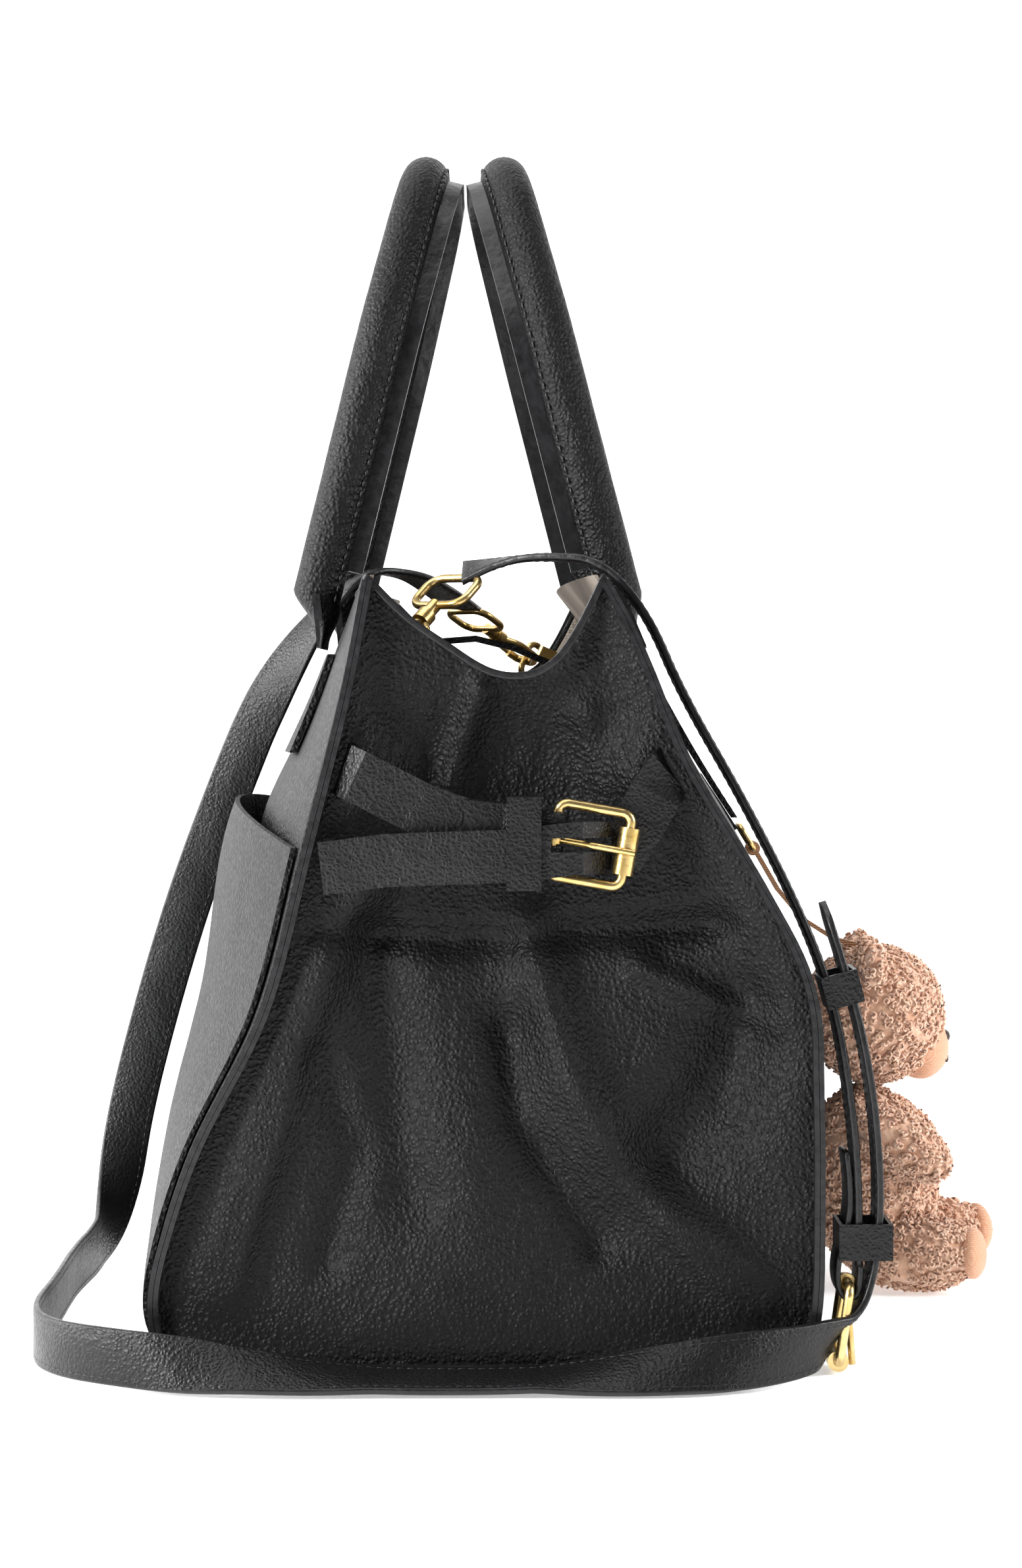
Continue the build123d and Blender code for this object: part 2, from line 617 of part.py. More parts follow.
long_stations = strap_route("long_strap", LONG_ROUTE)
with BuildPart() as long_strap:
    add(ribbon(long_stations, STRAP_WIDTH, STRAP_THICK))
    with Locations((STRAP_X - 1.5, -133, 21)):
        Box(6, 26, 20, mode=Mode.SUBTRACT)
    with Locations((STRAP_X - 13, -129.5, 18)):
        Box(4.6, 9, 14, mode=Mode.SUBTRACT)
save("long_strap", long_strap.part)


def upright(profile, x):
    return [((x, y, z), (1, 0, 0)) for y, z in profile]


FOLD_OUT = WIRE + 0.3 + STRAP_THICK / 2
tail = [(STRAP_BAR[0] - FOLD_OUT, 38.8), (STRAP_BAR[0] - FOLD_OUT, STRAP_BAR[1] + 0.8),
        (STRAP_BAR[0] - 2.4, STRAP_BAR[1] - 2.4), (STRAP_BAR[0], STRAP_BAR[1] - FOLD_OUT), (STRAP_BAR[0] + 2.4, STRAP_BAR[1] - 2.4),
        (STRAP_BAR[0] + FOLD_OUT, STRAP_BAR[1]), (-131.9, 45), (-132.6, 60), (-131.2, 78)]
with BuildPart() as short_strap:
    add(ribbon(short_stations, STRAP_WIDTH, STRAP_THICK))
    add(ribbon(upright(tail, STRAP_X), STRAP_WIDTH - 0.4, STRAP_THICK - 0.4))
    with Locations((STRAP_X, STRAP_BAR[0], STRAP_BAR[1] - 2)):
        Box(5.4, 14, 14, mode=Mode.SUBTRACT)
save("short_strap", short_strap.part)


def keeper(centre, along, wide, deep, tall):
    """A leather loop round both layers of the strap."""
    with BuildPart() as loop:
        with BuildSketch(Plane(centre, x_dir=(1, 0, 0), z_dir=along)):
            Rectangle(wide, deep)
            Rectangle(wide - 2.6, deep - 2.6, mode=Mode.SUBTRACT)
        extrude(amount=tall / 2, both=True)
    return loop.part


with BuildPart() as strap_keepers:
    add(keeper((-178.9, -129.2, 139), (0, -8, -30), 24, 13.6, 12))
    add(keeper((STRAP_X, -137.4, 48), (0, 0, 1), 24, 19.4, 13))
save("strap_keepers", strap_keepers.part)

strap_bar = Vector(STRAP_X, *STRAP_BAR)
strap_outer = Vector(STRAP_X, *STRAP_ROLLER)
STRAP_DOWN = (strap_outer - strap_bar).normalized()
strap_frame = Plane((strap_bar + strap_outer) * 0.5, x_dir=STRAP_DOWN, z_dir=STRAP_DOWN.cross(Vector(1, 0, 0)))
save("strap_buckle", ring_frame(strap_frame, (strap_outer - strap_bar).length, 25.6, WIRE, 3.6))
save("strap_buckle_roller", roller(tuple(strap_outer), (1, 0, 0), 17.6, WIRE + 0.07))
save("strap_buckle_prong", prong(tuple(strap_bar), (STRAP_X, -133.6, 1.9), (1, 0, 0)))

# ---------------------------------------------------------------- plush bear charm
BEAR_RING_BAR = (-111.6, 181.0)


ROUND = 0.5523            # control length of a quarter ellipse


def plump(centre, axis, radius, half_length):
    """A stuffed piece: an ellipse turned about its own axis."""
    axis = Vector(*axis).normalized()
    side = axis.cross(Vector(0.31, 0.2, 0.93)).normalized()
    with BuildPart() as stuffed:
        with BuildSketch(Plane(centre, x_dir=side, z_dir=side.cross(axis))):
            with BuildLine():
                Bezier((0, -half_length), (ROUND * radius, -half_length),
                       (radius, -ROUND * half_length), (radius, 0))
                Bezier((radius, 0), (radius, ROUND * half_length),
                       (ROUND * radius, half_length), (0, half_length))
                Line((0, half_length), (0, -half_length))
            make_face()
        revolve(axis=Axis(centre, axis))
    return stuffed.part


save("bear_torso", plump((0, -161, 43), (0, 0.12, 1), 26.5, 38))



def ball(centre, radius, pole, seam):
    """A ball whose poles and seam stay clear of the pieces sewn to it."""
    pole = Vector(*pole).normalized()
    seam = (Vector(*seam) - pole * Vector(*seam).dot(pole)).normalized()
    with BuildPart() as stuffed:
        with BuildSketch(Plane(centre, x_dir=seam, z_dir=seam.cross(pole))):
            with BuildLine():
                rim = CenterArc((0, 0), radius, -90, 180)
                Line(rim @ 1, rim @ 0)
            make_face()
        revolve(axis=Axis(centre, pole))
    return stuffed.part


with BuildPart() as bear_head:
    add(ball((0, -162.5, 112), 28, (0, -0.958, 0.287), (0.7, 0, -0.7)))
    add(ball((0, -180, 98), 12.5, (0, -0.78, -0.62), (0.9, 0.1, 0)))
    for sign in (-1, 1):
        with BuildSketch(Plane((sign * 21, -158, 134), z_dir=(0.2 * sign, 1, 0))):
            Circle(10)
        extrude(amount=4, both=True)
save("bear_head", bear_head.part)

with BuildPart() as bear_eyes_and_nose:
    for sign in (-1, 1):
        add(plump((sign * 10.5, -187.0, 116), (0, 1, 0), 2.6, 2.6))
    add(plump((0, -191.2, 102.5), (1, 0, 0), 3.0, 4.4))
save("bear_eyes_and_nose", bear_eyes_and_nose.part)

LIMBS = {"bear_arms": (((-28, -171, 61), (-0.2, -0.8, -0.5), 10.5, 21),
                       ((28, -173, 62), (0.25, -0.8, -0.45), 10.5, 21)),
         "bear_legs": (((-22, -176, 16), (-0.3, -0.95, 0.03), 14.5, 28),
                       ((21, -183, 16.5), (0.2, -0.97, 0.06), 14.5, 31))}
for name, pair in LIMBS.items():
    with BuildPart() as limbs:
        for limb in pair:
            add(plump(*limb))
    save(name, limbs.part)

save("bear_anchor", ribbon(upright([(wall(FRONT_WALL, 0, z) - 1.3, z) for z in (212, 200, 189)], 0), 13, 1.6))
ring_long = 11.0
lean = Vector(0, -28, -46).normalized()
ring_plane = Plane(Vector(0, *BEAR_RING_BAR) - lean * (ring_long / 2), x_dir=lean,
                   z_dir=lean.cross(Vector(1, 0, 0)))
save("bear_anchor_ring", ring_frame(ring_plane, ring_long, 14, 1.2, 3.0))

with BuildPart() as bear_strap:
    with BuildSketch(Plane((-3, *BEAR_RING_BAR), z_dir=(1, 0, 0))):
        Circle(3.0)
        Circle(1.27, mode=Mode.SUBTRACT)
    extrude(amount=6)
    add(ribbon(upright([(-113.2, 179.2), (-122, 164), (-132.5, 151.5), (-146, 143), (-158, 140)], 0), 6, 1.8))
save("bear_strap", bear_strap.part)
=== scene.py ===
# %% [markdown]
# # Diaper bag
# A soft black leather tote stands on its base. Two rolled handles rise from it, a buckled belt
# pulls each end in, a crossbody strap lies round its left end and a plush bear hangs on the front.
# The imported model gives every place; this script gives the soft shapes and the materials.

# %% Frame
import math

import bpy
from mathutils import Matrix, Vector, noise


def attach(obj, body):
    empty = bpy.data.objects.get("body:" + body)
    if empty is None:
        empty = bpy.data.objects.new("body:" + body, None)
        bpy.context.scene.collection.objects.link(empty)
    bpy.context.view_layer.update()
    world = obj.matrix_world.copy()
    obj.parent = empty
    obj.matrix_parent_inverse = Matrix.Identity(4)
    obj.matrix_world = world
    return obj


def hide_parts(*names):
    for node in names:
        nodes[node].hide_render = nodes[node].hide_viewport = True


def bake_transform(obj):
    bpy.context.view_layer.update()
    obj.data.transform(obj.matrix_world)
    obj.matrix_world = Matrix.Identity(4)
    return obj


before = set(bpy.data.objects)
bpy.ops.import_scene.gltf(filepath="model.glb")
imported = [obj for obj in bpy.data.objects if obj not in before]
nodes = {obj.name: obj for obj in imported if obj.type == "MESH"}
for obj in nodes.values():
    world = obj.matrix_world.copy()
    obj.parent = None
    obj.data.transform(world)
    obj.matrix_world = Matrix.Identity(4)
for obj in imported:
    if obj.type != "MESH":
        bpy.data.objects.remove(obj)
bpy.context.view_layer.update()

scene = bpy.context.scene

# %% [markdown]
# ## Camera
# It looks square on at the left end, from just below the rim.

# %% Camera
camera_data = bpy.data.cameras.new("camera")
camera_data.sensor_fit = "VERTICAL"
camera_data.sensor_height = 36.0
camera_data.lens = 77.4
camera_data.shift_x = 0.0164
camera_data.shift_y = -0.063
camera = bpy.data.objects.new("camera", camera_data)
camera.location = (-1.408, 0.0, 0.249)
camera.rotation_euler = (math.radians(90), 0, math.radians(-90))
scene.collection.objects.link(camera)
scene.camera = camera
print("camera lens", camera_data.lens)

# %% [markdown]
# ## Materials
# Colours are written as they look and turned linear once. Every pattern uses object coordinates,
# which are metres, so a scale of 600 makes grains of about 1.6 mm.

# %% Helpers for materials


def linear(code):
    """A colour written as #rrggbb, as the linear values that a shader takes."""
    shown = [int(code[i:i + 2], 16) / 255 for i in (1, 3, 5)]
    turned = [v / 12.92 if v <= 0.04045 else ((v + 0.055) / 1.055) ** 2.4 for v in shown]
    return (*turned, 1.0)


def add_node(tree, kind, values=None, **settings):
    """Adds a node with its settings and the values of its sockets."""
    made = tree.nodes.new(kind)
    for key, value in settings.items():
        setattr(made, key, value)
    for key, value in (values or {}).items():
        made.inputs[key].default_value = value
    return made


def new_material(name, **values):
    material = bpy.data.materials.new(name)
    material.use_nodes = True
    shader = material.node_tree.nodes["Principled BSDF"]
    for key, value in values.items():
        shader.inputs[key.replace("_", " ")].default_value = value
    return material, material.node_tree, shader


def ramp(tree, source, stops):
    """A colour ramp on a value, with (position, colour) stops."""
    made = add_node(tree, "ShaderNodeValToRGB")
    made.color_ramp.elements[0].position, made.color_ramp.elements[0].color = stops[0]
    made.color_ramp.elements[1].position, made.color_ramp.elements[1].color = stops[-1]
    tree.links.new(source, made.inputs["Fac"])
    return made


def bump(tree, shader, height, distance, before=None):
    made = add_node(tree, "ShaderNodeBump", {"Distance": distance, "Strength": 1.0})
    tree.links.new(height, made.inputs["Height"])
    if before:
        tree.links.new(before.outputs["Normal"], made.inputs["Normal"])
    tree.links.new(made.outputs["Normal"], shader.inputs["Normal"])
    return made


def bent_place(tree, amount, scale):
    """Object coordinates pushed about a little, so that a pattern isn't regular."""
    place = add_node(tree, "ShaderNodeTexCoord")
    push = add_node(tree, "ShaderNodeTexNoise", {"Scale": scale, "Detail": 2.0})
    tree.links.new(place.outputs["Object"], push.inputs["Vector"])
    bent = add_node(tree, "ShaderNodeVectorMath", operation="MULTIPLY_ADD")
    bent.inputs[1].default_value = (amount, amount, amount)
    tree.links.new(push.outputs["Color"], bent.inputs[0])
    tree.links.new(place.outputs["Object"], bent.inputs[2])
    return bent.outputs["Vector"]


# %% Leather


def leather(name, dark, light, grain=600.0, depth=0.00042, low=0.3, high=0.55, shine=0.16):
    """Pebbled leather: rounded grains with fine creases between them, over a slow unevenness."""
    material, tree, shader = new_material(name, Specular_IOR_Level=shine)
    place = bent_place(tree, 0.0022, 260.0)
    pebble = add_node(tree, "ShaderNodeTexVoronoi", {"Scale": grain}, feature="F1")
    slow = add_node(tree, "ShaderNodeTexNoise", {"Scale": 26.0, "Detail": 2.0})
    fine = add_node(tree, "ShaderNodeTexNoise", {"Scale": 2400.0, "Detail": 2.0})
    for texture in (pebble, slow, fine):
        tree.links.new(place, texture.inputs["Vector"])
    colour = ramp(tree, slow.outputs["Fac"], [(0.35, linear(dark)), (0.7, linear(light))])
    tree.links.new(colour.outputs["Color"], shader.inputs["Base Color"])
    rough = add_node(tree, "ShaderNodeMapRange",
                     {"From Min": 0.0, "From Max": 0.7, "To Min": low, "To Max": high})
    tree.links.new(pebble.outputs["Distance"], rough.inputs["Value"])
    tree.links.new(rough.outputs["Result"], shader.inputs["Roughness"])
    first = bump(tree, shader, slow.outputs["Fac"], 0.0025)
    grains = add_node(tree, "ShaderNodeMapRange",
                      {"From Min": 0.1, "From Max": 0.75, "To Min": 1.0, "To Max": 0.0})
    tree.links.new(pebble.outputs["Distance"], grains.inputs["Value"])
    second = bump(tree, shader, grains.outputs["Result"], depth, first)
    bump(tree, shader, fine.outputs["Fac"], depth * 0.25, second)
    return material


def painted_edge(name, dark, light):
    """Smooth edge paint with a faint ripple and small bright rubs."""
    material, tree, shader = new_material(name, Specular_IOR_Level=0.3)
    place = bent_place(tree, 0.001, 120.0)
    ripple = add_node(tree, "ShaderNodeTexNoise", {"Scale": 240.0, "Detail": 3.0})
    tree.links.new(place, ripple.inputs["Vector"])
    colour = ramp(tree, ripple.outputs["Fac"], [(0.3, linear(dark)), (0.8, linear(light))])
    tree.links.new(colour.outputs["Color"], shader.inputs["Base Color"])
    rough = add_node(tree, "ShaderNodeMapRange", {"To Min": 0.26, "To Max": 0.46})
    tree.links.new(ripple.outputs["Fac"], rough.inputs["Value"])
    tree.links.new(rough.outputs["Result"], shader.inputs["Roughness"])
    bump(tree, shader, ripple.outputs["Fac"], 0.0004)
    return material


body_leather = leather("pebbled_leather", "#050506", "#0b0b0c")
strap_leather = leather("strap_leather", "#060607", "#0c0c0d", grain=760.0, depth=0.00018,
                        low=0.28, high=0.45, shine=0.26)
edge_paint = painted_edge("edge_paint", "#0c0c0d", "#19191b")
facing_suede = leather("facing_suede", "#5d554e", "#7b7269", grain=1500.0, depth=0.0001,
                       low=0.8, high=0.95, shine=0.2)
thread = painted_edge("stitch_thread", "#0a0a0b", "#1b1b1d")
print("leathers made")

# %% Metal, cloth and plush


def brushed_brass(name, dark, light):
    """Satin brass: long fine scratches and a slow change of tone."""
    material, tree, shader = new_material(name, Metallic=1.0)
    place = add_node(tree, "ShaderNodeTexCoord")
    stretch = add_node(tree, "ShaderNodeMapping", {"Scale": (2200.0, 260.0, 900.0)})
    tree.links.new(place.outputs["Object"], stretch.inputs["Vector"])
    scratch = add_node(tree, "ShaderNodeTexNoise", {"Scale": 1.0, "Detail": 3.0})
    tree.links.new(stretch.outputs["Vector"], scratch.inputs["Vector"])
    tone = add_node(tree, "ShaderNodeTexNoise", {"Scale": 90.0, "Detail": 2.0})
    tree.links.new(place.outputs["Object"], tone.inputs["Vector"])
    colour = ramp(tree, tone.outputs["Fac"], [(0.3, linear(dark)), (0.75, linear(light))])
    tree.links.new(colour.outputs["Color"], shader.inputs["Base Color"])
    rough = add_node(tree, "ShaderNodeMapRange", {"To Min": 0.2, "To Max": 0.4})
    tree.links.new(scratch.outputs["Fac"], rough.inputs["Value"])
    tree.links.new(rough.outputs["Result"], shader.inputs["Roughness"])
    bump(tree, shader, scratch.outputs["Fac"], 0.00006)
    return material


def woven(name, dark, light, pitch=1500.0):
    """Plain weave: two sets of threads crossing."""
    material, tree, shader = new_material(name, Roughness=0.9, Sheen_Weight=0.25)
    place = add_node(tree, "ShaderNodeTexCoord")
    threads = []
    for direction in ("X", "Z"):
        wave = add_node(tree, "ShaderNodeTexWave", {"Scale": pitch / 6.28, "Distortion": 0.4},
                        bands_direction=direction)
        tree.links.new(place.outputs["Object"], wave.inputs["Vector"])
        threads.append(wave)
    both = add_node(tree, "ShaderNodeMath", operation="MULTIPLY")
    tree.links.new(threads[0].outputs["Fac"], both.inputs[0])
    tree.links.new(threads[1].outputs["Fac"], both.inputs[1])
    colour = ramp(tree, both.outputs["Value"], [(0.0, linear(dark)), (0.9, linear(light))])
    tree.links.new(colour.outputs["Color"], shader.inputs["Base Color"])
    bump(tree, shader, both.outputs["Value"], 0.0002)
    return material


def pile(name, dark, light, scale=420.0, depth=0.0004):
    """Curly plush: clumps of pile, darker between them."""
    material, tree, shader = new_material(name, Roughness=0.95, Sheen_Weight=0.7, Sheen_Roughness=0.6)
    place = bent_place(tree, 0.004, 300.0)
    clump = add_node(tree, "ShaderNodeTexVoronoi", {"Scale": scale}, feature="F1")
    slow = add_node(tree, "ShaderNodeTexNoise", {"Scale": 160.0, "Detail": 5.0})
    for texture in (clump, slow):
        tree.links.new(place, texture.inputs["Vector"])
    colour = ramp(tree, slow.outputs["Fac"], [(0.32, linear(dark)), (0.68, linear(light))])
    tree.links.new(colour.outputs["Color"], shader.inputs["Base Color"])
    first = bump(tree, shader, slow.outputs["Fac"], depth)
    grains = add_node(tree, "ShaderNodeMapRange", {"To Min": 1.0, "To Max": 0.0})
    tree.links.new(clump.outputs["Distance"], grains.inputs["Value"])
    bump(tree, shader, grains.outputs["Result"], depth, first)
    return material


brass = brushed_brass("satin_brass", "#b39455", "#dcc38c")
lining_cloth = woven("lining_cloth", "#6f675d", "#a0978a")
rope_cloth = woven("rope_cloth", "#8d826f", "#b8ad98", pitch=900.0)
plush = pile("tan_plush", "#c99574", "#f0c7a9")
ribbed_cloth = woven("peach_rib", "#d29b7b", "#ecbf9f", pitch=2600.0)
tape_cloth = woven("tan_tape", "#7b5538", "#a67a55", pitch=2200.0)
bead = painted_edge("brown_bead", "#24140c", "#3d2518")
print("materials", len(bpy.data.materials))

# %% [markdown]
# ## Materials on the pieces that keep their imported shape
# Buckles, rings, clasps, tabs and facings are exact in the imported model, so they only need paint.
# A finish goes by the piece's name. It is set on the object, so that copies of a mesh can differ.

# %% Carried-over pieces
BRASS_WORDS = ("belt_buckle", "roller", "prong", "strap_ring", "clasp", "dee_ring", "plate", "snap",
               "strap_buckle", "anchor_ring")
STRAP_WORDS = ("tip_strap", "keeper", "closure", "bear_anchor", "long_strap", "short_strap")


def finish_for(name):
    if name.endswith("buckle_strap") or name == "dee_ring_tabs":
        return strap_leather
    if any(word in name for word in BRASS_WORDS):
        return brass
    if "seam" in name:
        return edge_paint
    if "handle_core" in name:
        return rope_cloth
    if "facing" in name:
        return facing_suede
    if name in ("lining", "base_board"):
        return lining_cloth
    if name == "bear_eyes_and_nose":
        return bead
    if name == "bear_strap":
        return tape_cloth
    if name.startswith("bear_") and name != "bear_anchor":
        return plush
    if any(word in name for word in STRAP_WORDS):
        return strap_leather
    return body_leather


def paint(thing, material):
    if not thing.material_slots:
        thing.data.materials.append(material)
    for place in thing.material_slots:
        place.link = "OBJECT"
        place.material = material


for name, thing in nodes.items():
    paint(thing, finish_for(name))
print("painted", len(nodes))

# %% [markdown]
# ## Mesh helpers
# Leather is made as a sheet of points and then given its thickness. Shapes are worked out in
# millimetres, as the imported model's are, and turned to metres as the last step.

# %% Mesh helpers
MM = 0.001


def mesh_piece(name, points, faces, materials, smooth=True):
    mesh = bpy.data.meshes.new(name)
    mesh.from_pydata([tuple(p) for p in points], [], faces)
    for material in materials:
        mesh.materials.append(material)
    if smooth:
        mesh.polygons.foreach_set("use_smooth", [True] * len(mesh.polygons))
    mesh.validate()
    made = bpy.data.objects.new(name, mesh)
    scene.collection.objects.link(made)
    return made


def plain(thing):
    """The same object with its modifiers worked into its mesh."""
    bpy.context.view_layer.update()
    graph = bpy.context.evaluated_depsgraph_get()
    mesh = bpy.data.meshes.new_from_object(thing.evaluated_get(graph))
    thing.modifiers.clear()
    thing.data = mesh
    return thing


def grid_faces(rows, columns, flip=False):
    faces = []
    for r in range(rows):
        for c in range(columns):
            a = r * (columns + 1) + c
            face = (a, a + 1, a + columns + 2, a + columns + 1)
            faces.append(face[::-1] if flip else face)
    return faces


def thickened(thing, amount):
    """A sheet given its thickness on the inside of its face."""
    solid = thing.modifiers.new("thickness", "SOLIDIFY")
    solid.thickness = amount
    solid.offset = -1.0
    return plain(thing)


# %% [markdown]
# ## Crossbody strap
# Two flat leather straps meet at a buckle. Each could be a curve with a bevel, but a strap turns
# over as it lies, so each is a ribbon along the smooth line of its route instead. A station of a
# route is a point and the direction of the strap's width there.

# %% Strap routes
SHORT_ROUTE = [((-145, 8.3, 291.0), (0.64, 0.76, 0)), ((-147, -5, 295), (0.85, 0.4, 0)),
               ((-154, -22, 297), (1, 0.1, 0)), ((-160, -43, 295), (1, 0, 0)),
               ((-165, -60, 275), (1, 0, 0)), ((-168, -72, 246), (1, 0, 0)),
               ((-172, -95, 206), (1, 0, 0)), ((-176, -115, 166), (1, 0, 0)),
               ((-179, -126.5, 135), (1, 0, 0)), ((-181, -132.9, 97), (1, 0, 0)),
               ((-181, -135.5, 62), (1, 0, 0)), ((-181, -134.9, 39), (1, 0, 0))]
LONG_ROUTE = [((-176.5, -123, 170), (1, 0, 0)), ((-179, -132.6, 140), (1, 0, 0)),
              ((-181, -139.6, 108), (1, 0, 0)), ((-181, -143, 74), (1, 0, 0)),
              ((-181, -142.4, 46), (1, 0, 0)), ((-182, -138.5, 28), (1, 0, 0)),
              ((-188, -129, 15), (0.8, 0.3, -0.5)), ((-202, -120, 11.8), (0.3, 0.1, -0.95)),
              ((-217, -101, 11.4), (0, 0, -1)), ((-225, -68, 9.0), (-0.6, 0, -0.75)),
              ((-221, -18, 4.0), (-0.98, 0, -0.2)), ((-222, 42, 4.2), (-0.98, 0, -0.22)),
              ((-225, 88, 8.4), (-0.75, 0, -0.6)), ((-220, 127, 11.6), (-0.1, 0, -1)),
              ((-200, 156, 11.6), (0, 0, -1)), ((-168, 167, 11.6), (0, 0, -1)),
              ((-108, 165.5, 11.6), (0, 0, -1)), ((-40, 167, 11.6), (0, 0, -1)),
              ((22, 163, 12.0), (0, -0.1, -1)), ((60, 160, 27), (0.15, -0.7, -0.75)),
              ((71, 156, 62), (0, -0.94, -0.33)), ((72, 143, 113), (0, -0.94, -0.33)),
              ((70, 128.5, 160), (0, -0.94, -0.33)), ((69, 112, 204), (0, -0.93, -0.37)),
              ((67, 96, 243), (-0.25, -0.9, -0.36)), ((63, 75, 276), (-0.8, -0.55, -0.15)),
              ((61, 54, 299), (-1, -0.2, 0)), ((78, 34, 298.5), (-0.95, -0.5, 0)),
              ((108, 21, 292), (-0.8, -0.6, 0)), ((136.5, 11, 284.6), (-0.725, -0.689, 0))]
TAIL_ROUTE = [((-181, -135.6, 40), (1, 0, 0)), ((-181, -135.9, 30), (1, 0, 0)),
              ((-181, -131.5, 26.6), (1, 0, 0)), ((-181, -127.6, 30), (1, 0, 0)),
              ((-181, -127.2, 40), (1, 0, 0)), ((-181, -131.0, 52), (1, 0, 0)),
              ((-181, -132.4, 66), (1, 0, 0)), ((-181, -130.6, 80), (1, 0, 0))]


def smooth_line(name, points, resolution=10):
    """Points read from the smooth curve that a route's points control."""
    curve = bpy.data.curves.new(name, "CURVE")
    curve.dimensions = "3D"
    spline = curve.splines.new("NURBS")
    spline.points.add(len(points) - 1)
    for control, point in zip(spline.points, points):
        control.co = (*point, 1.0)
    spline.order_u = 3
    spline.use_endpoint_u = True
    spline.resolution_u = resolution
    holder = bpy.data.objects.new(name, curve)
    scene.collection.objects.link(holder)
    bpy.context.view_layer.update()
    mesh = bpy.data.meshes.new_from_object(holder)
    line = [v.co.copy() for v in mesh.vertices]
    bpy.data.objects.remove(holder)
    return line


def line_length(line):
    return sum((b - a).length for a, b in zip(line, line[1:]))


def width_frames(line, route):
    """For each point of the line, its direction along and the strap's width direction there."""
    marks = [0.0]
    points = [Vector(p) for p, _ in route]
    for a, b in zip(points, points[1:]):
        marks.append(marks[-1] + (b - a).length)
    whole = line_length(line)
    frames, gone = [], 0.0
    for i, point in enumerate(line):
        if i:
            gone += (point - line[i - 1]).length
        at = min(gone / whole, 1.0) * marks[-1]
        k = max(j for j in range(len(marks) - 1) if marks[j] <= at + 1e-9)
        share = (at - marks[k]) / (marks[k + 1] - marks[k])
        across = Vector(route[k][1]) * (1 - share) + Vector(route[k + 1][1]) * share
        along = (line[min(i + 1, len(line) - 1)] - line[max(i - 1, 0)]).normalized()
        across = (across - along * across.dot(along)).normalized()
        frames.append((along, across))
    return frames


# The strap's section, as shares of its width and thickness, and its sides that edge paint covers.
SECTION = [(-0.5, -0.22), (-0.485, -0.42), (-0.46, -0.5), (0.46, -0.5), (0.485, -0.42), (0.5, -0.22),
           (0.5, 0.22), (0.485, 0.42), (0.46, 0.5), (-0.46, 0.5), (-0.485, 0.42), (-0.5, 0.22)]
EDGE_SIDES = (0, 1, 4, 5, 6, 7, 10, 11)


def ribbon(name, line, frames, width, thick, tip=0.0):
    """A leather strap with painted edges; tip is the length over which its start is rounded."""
    points, faces, kinds = [], [], []
    count = len(SECTION)
    gone = 0.0
    for i, (point, (along, across)) in enumerate(zip(line, frames)):
        if i:
            gone += (point - line[i - 1]).length
        narrow = 1.0
        if tip and gone < tip:
            narrow = max(0.12, math.sqrt(1 - (1 - gone / tip) ** 2))
        normal = along.cross(across)
        for a, b in SECTION:
            points.append(point + across * (a * width * narrow) + normal * (b * thick))
    for i in range(len(line) - 1):
        for k in range(count):
            a, b = i * count + k, i * count + (k + 1) % count
            faces.append((a, a + count, b + count, b))
            kinds.append(1 if k in EDGE_SIDES else 0)
    last = (len(line) - 1) * count
    faces += [tuple(range(count)), tuple(reversed(range(last, last + count)))]
    kinds += [1, 1]
    made = mesh_piece(name, points, faces, [strap_leather, edge_paint])
    made.data.polygons.foreach_set("material_index", kinds)
    return made


def in_metres(route):
    return [(Vector(p) * MM, d) for p, d in route]


# %% [markdown]
# ## Stitches
# Thread lies in small even stitches beside each edge. Modelling each by hand would be endless, so
# Geometry Nodes set one rounded stitch at every step along a line of points.

# %% Stitches
def stitch_group():
    """Stitches along edges: points at even steps, a small rounded stitch on each, made real."""
    group = bpy.data.node_groups.new("stitches", "GeometryNodeTree")
    group.interface.new_socket("Geometry", in_out="INPUT", socket_type="NodeSocketGeometry")
    step = group.interface.new_socket("Step", in_out="INPUT", socket_type="NodeSocketFloat")
    size = group.interface.new_socket("Stitch Size", in_out="INPUT", socket_type="NodeSocketVector")
    look = group.interface.new_socket("Material", in_out="INPUT", socket_type="NodeSocketMaterial")
    group.interface.new_socket("Geometry", in_out="OUTPUT", socket_type="NodeSocketGeometry")
    start = add_node(group, "NodeGroupInput")
    end = add_node(group, "NodeGroupOutput")
    curve = add_node(group, "GeometryNodeMeshToCurve")
    spots = add_node(group, "GeometryNodeCurveToPoints", mode="LENGTH")
    seed = add_node(group, "GeometryNodeMeshUVSphere", {"Segments": 6, "Rings": 4, "Radius": 1.0})
    place = add_node(group, "GeometryNodeInstanceOnPoints")
    real = add_node(group, "GeometryNodeRealizeInstances")
    shade = add_node(group, "GeometryNodeSetShadeSmooth")
    paint_it = add_node(group, "GeometryNodeSetMaterial")
    link = group.links.new
    link(start.outputs["Geometry"], curve.inputs[0])
    link(curve.outputs[0], spots.inputs["Curve"])
    link(start.outputs["Step"], spots.inputs["Length"])
    link(spots.outputs["Points"], place.inputs["Points"])
    link(spots.outputs["Rotation"], place.inputs["Rotation"])
    link(seed.outputs["Mesh"], place.inputs["Instance"])
    link(start.outputs["Stitch Size"], place.inputs["Scale"])
    link(place.outputs["Instances"], real.inputs[0])
    link(real.outputs[0], shade.inputs[0])
    link(shade.outputs[0], paint_it.inputs["Geometry"])
    link(start.outputs["Material"], paint_it.inputs["Material"])
    link(paint_it.outputs["Geometry"], end.inputs[0])
    return group, {"step": step.identifier, "size": size.identifier, "look": look.identifier}


STITCH_GROUP, STITCH_KEYS = stitch_group()
print("stitch inputs", list(STITCH_KEYS))


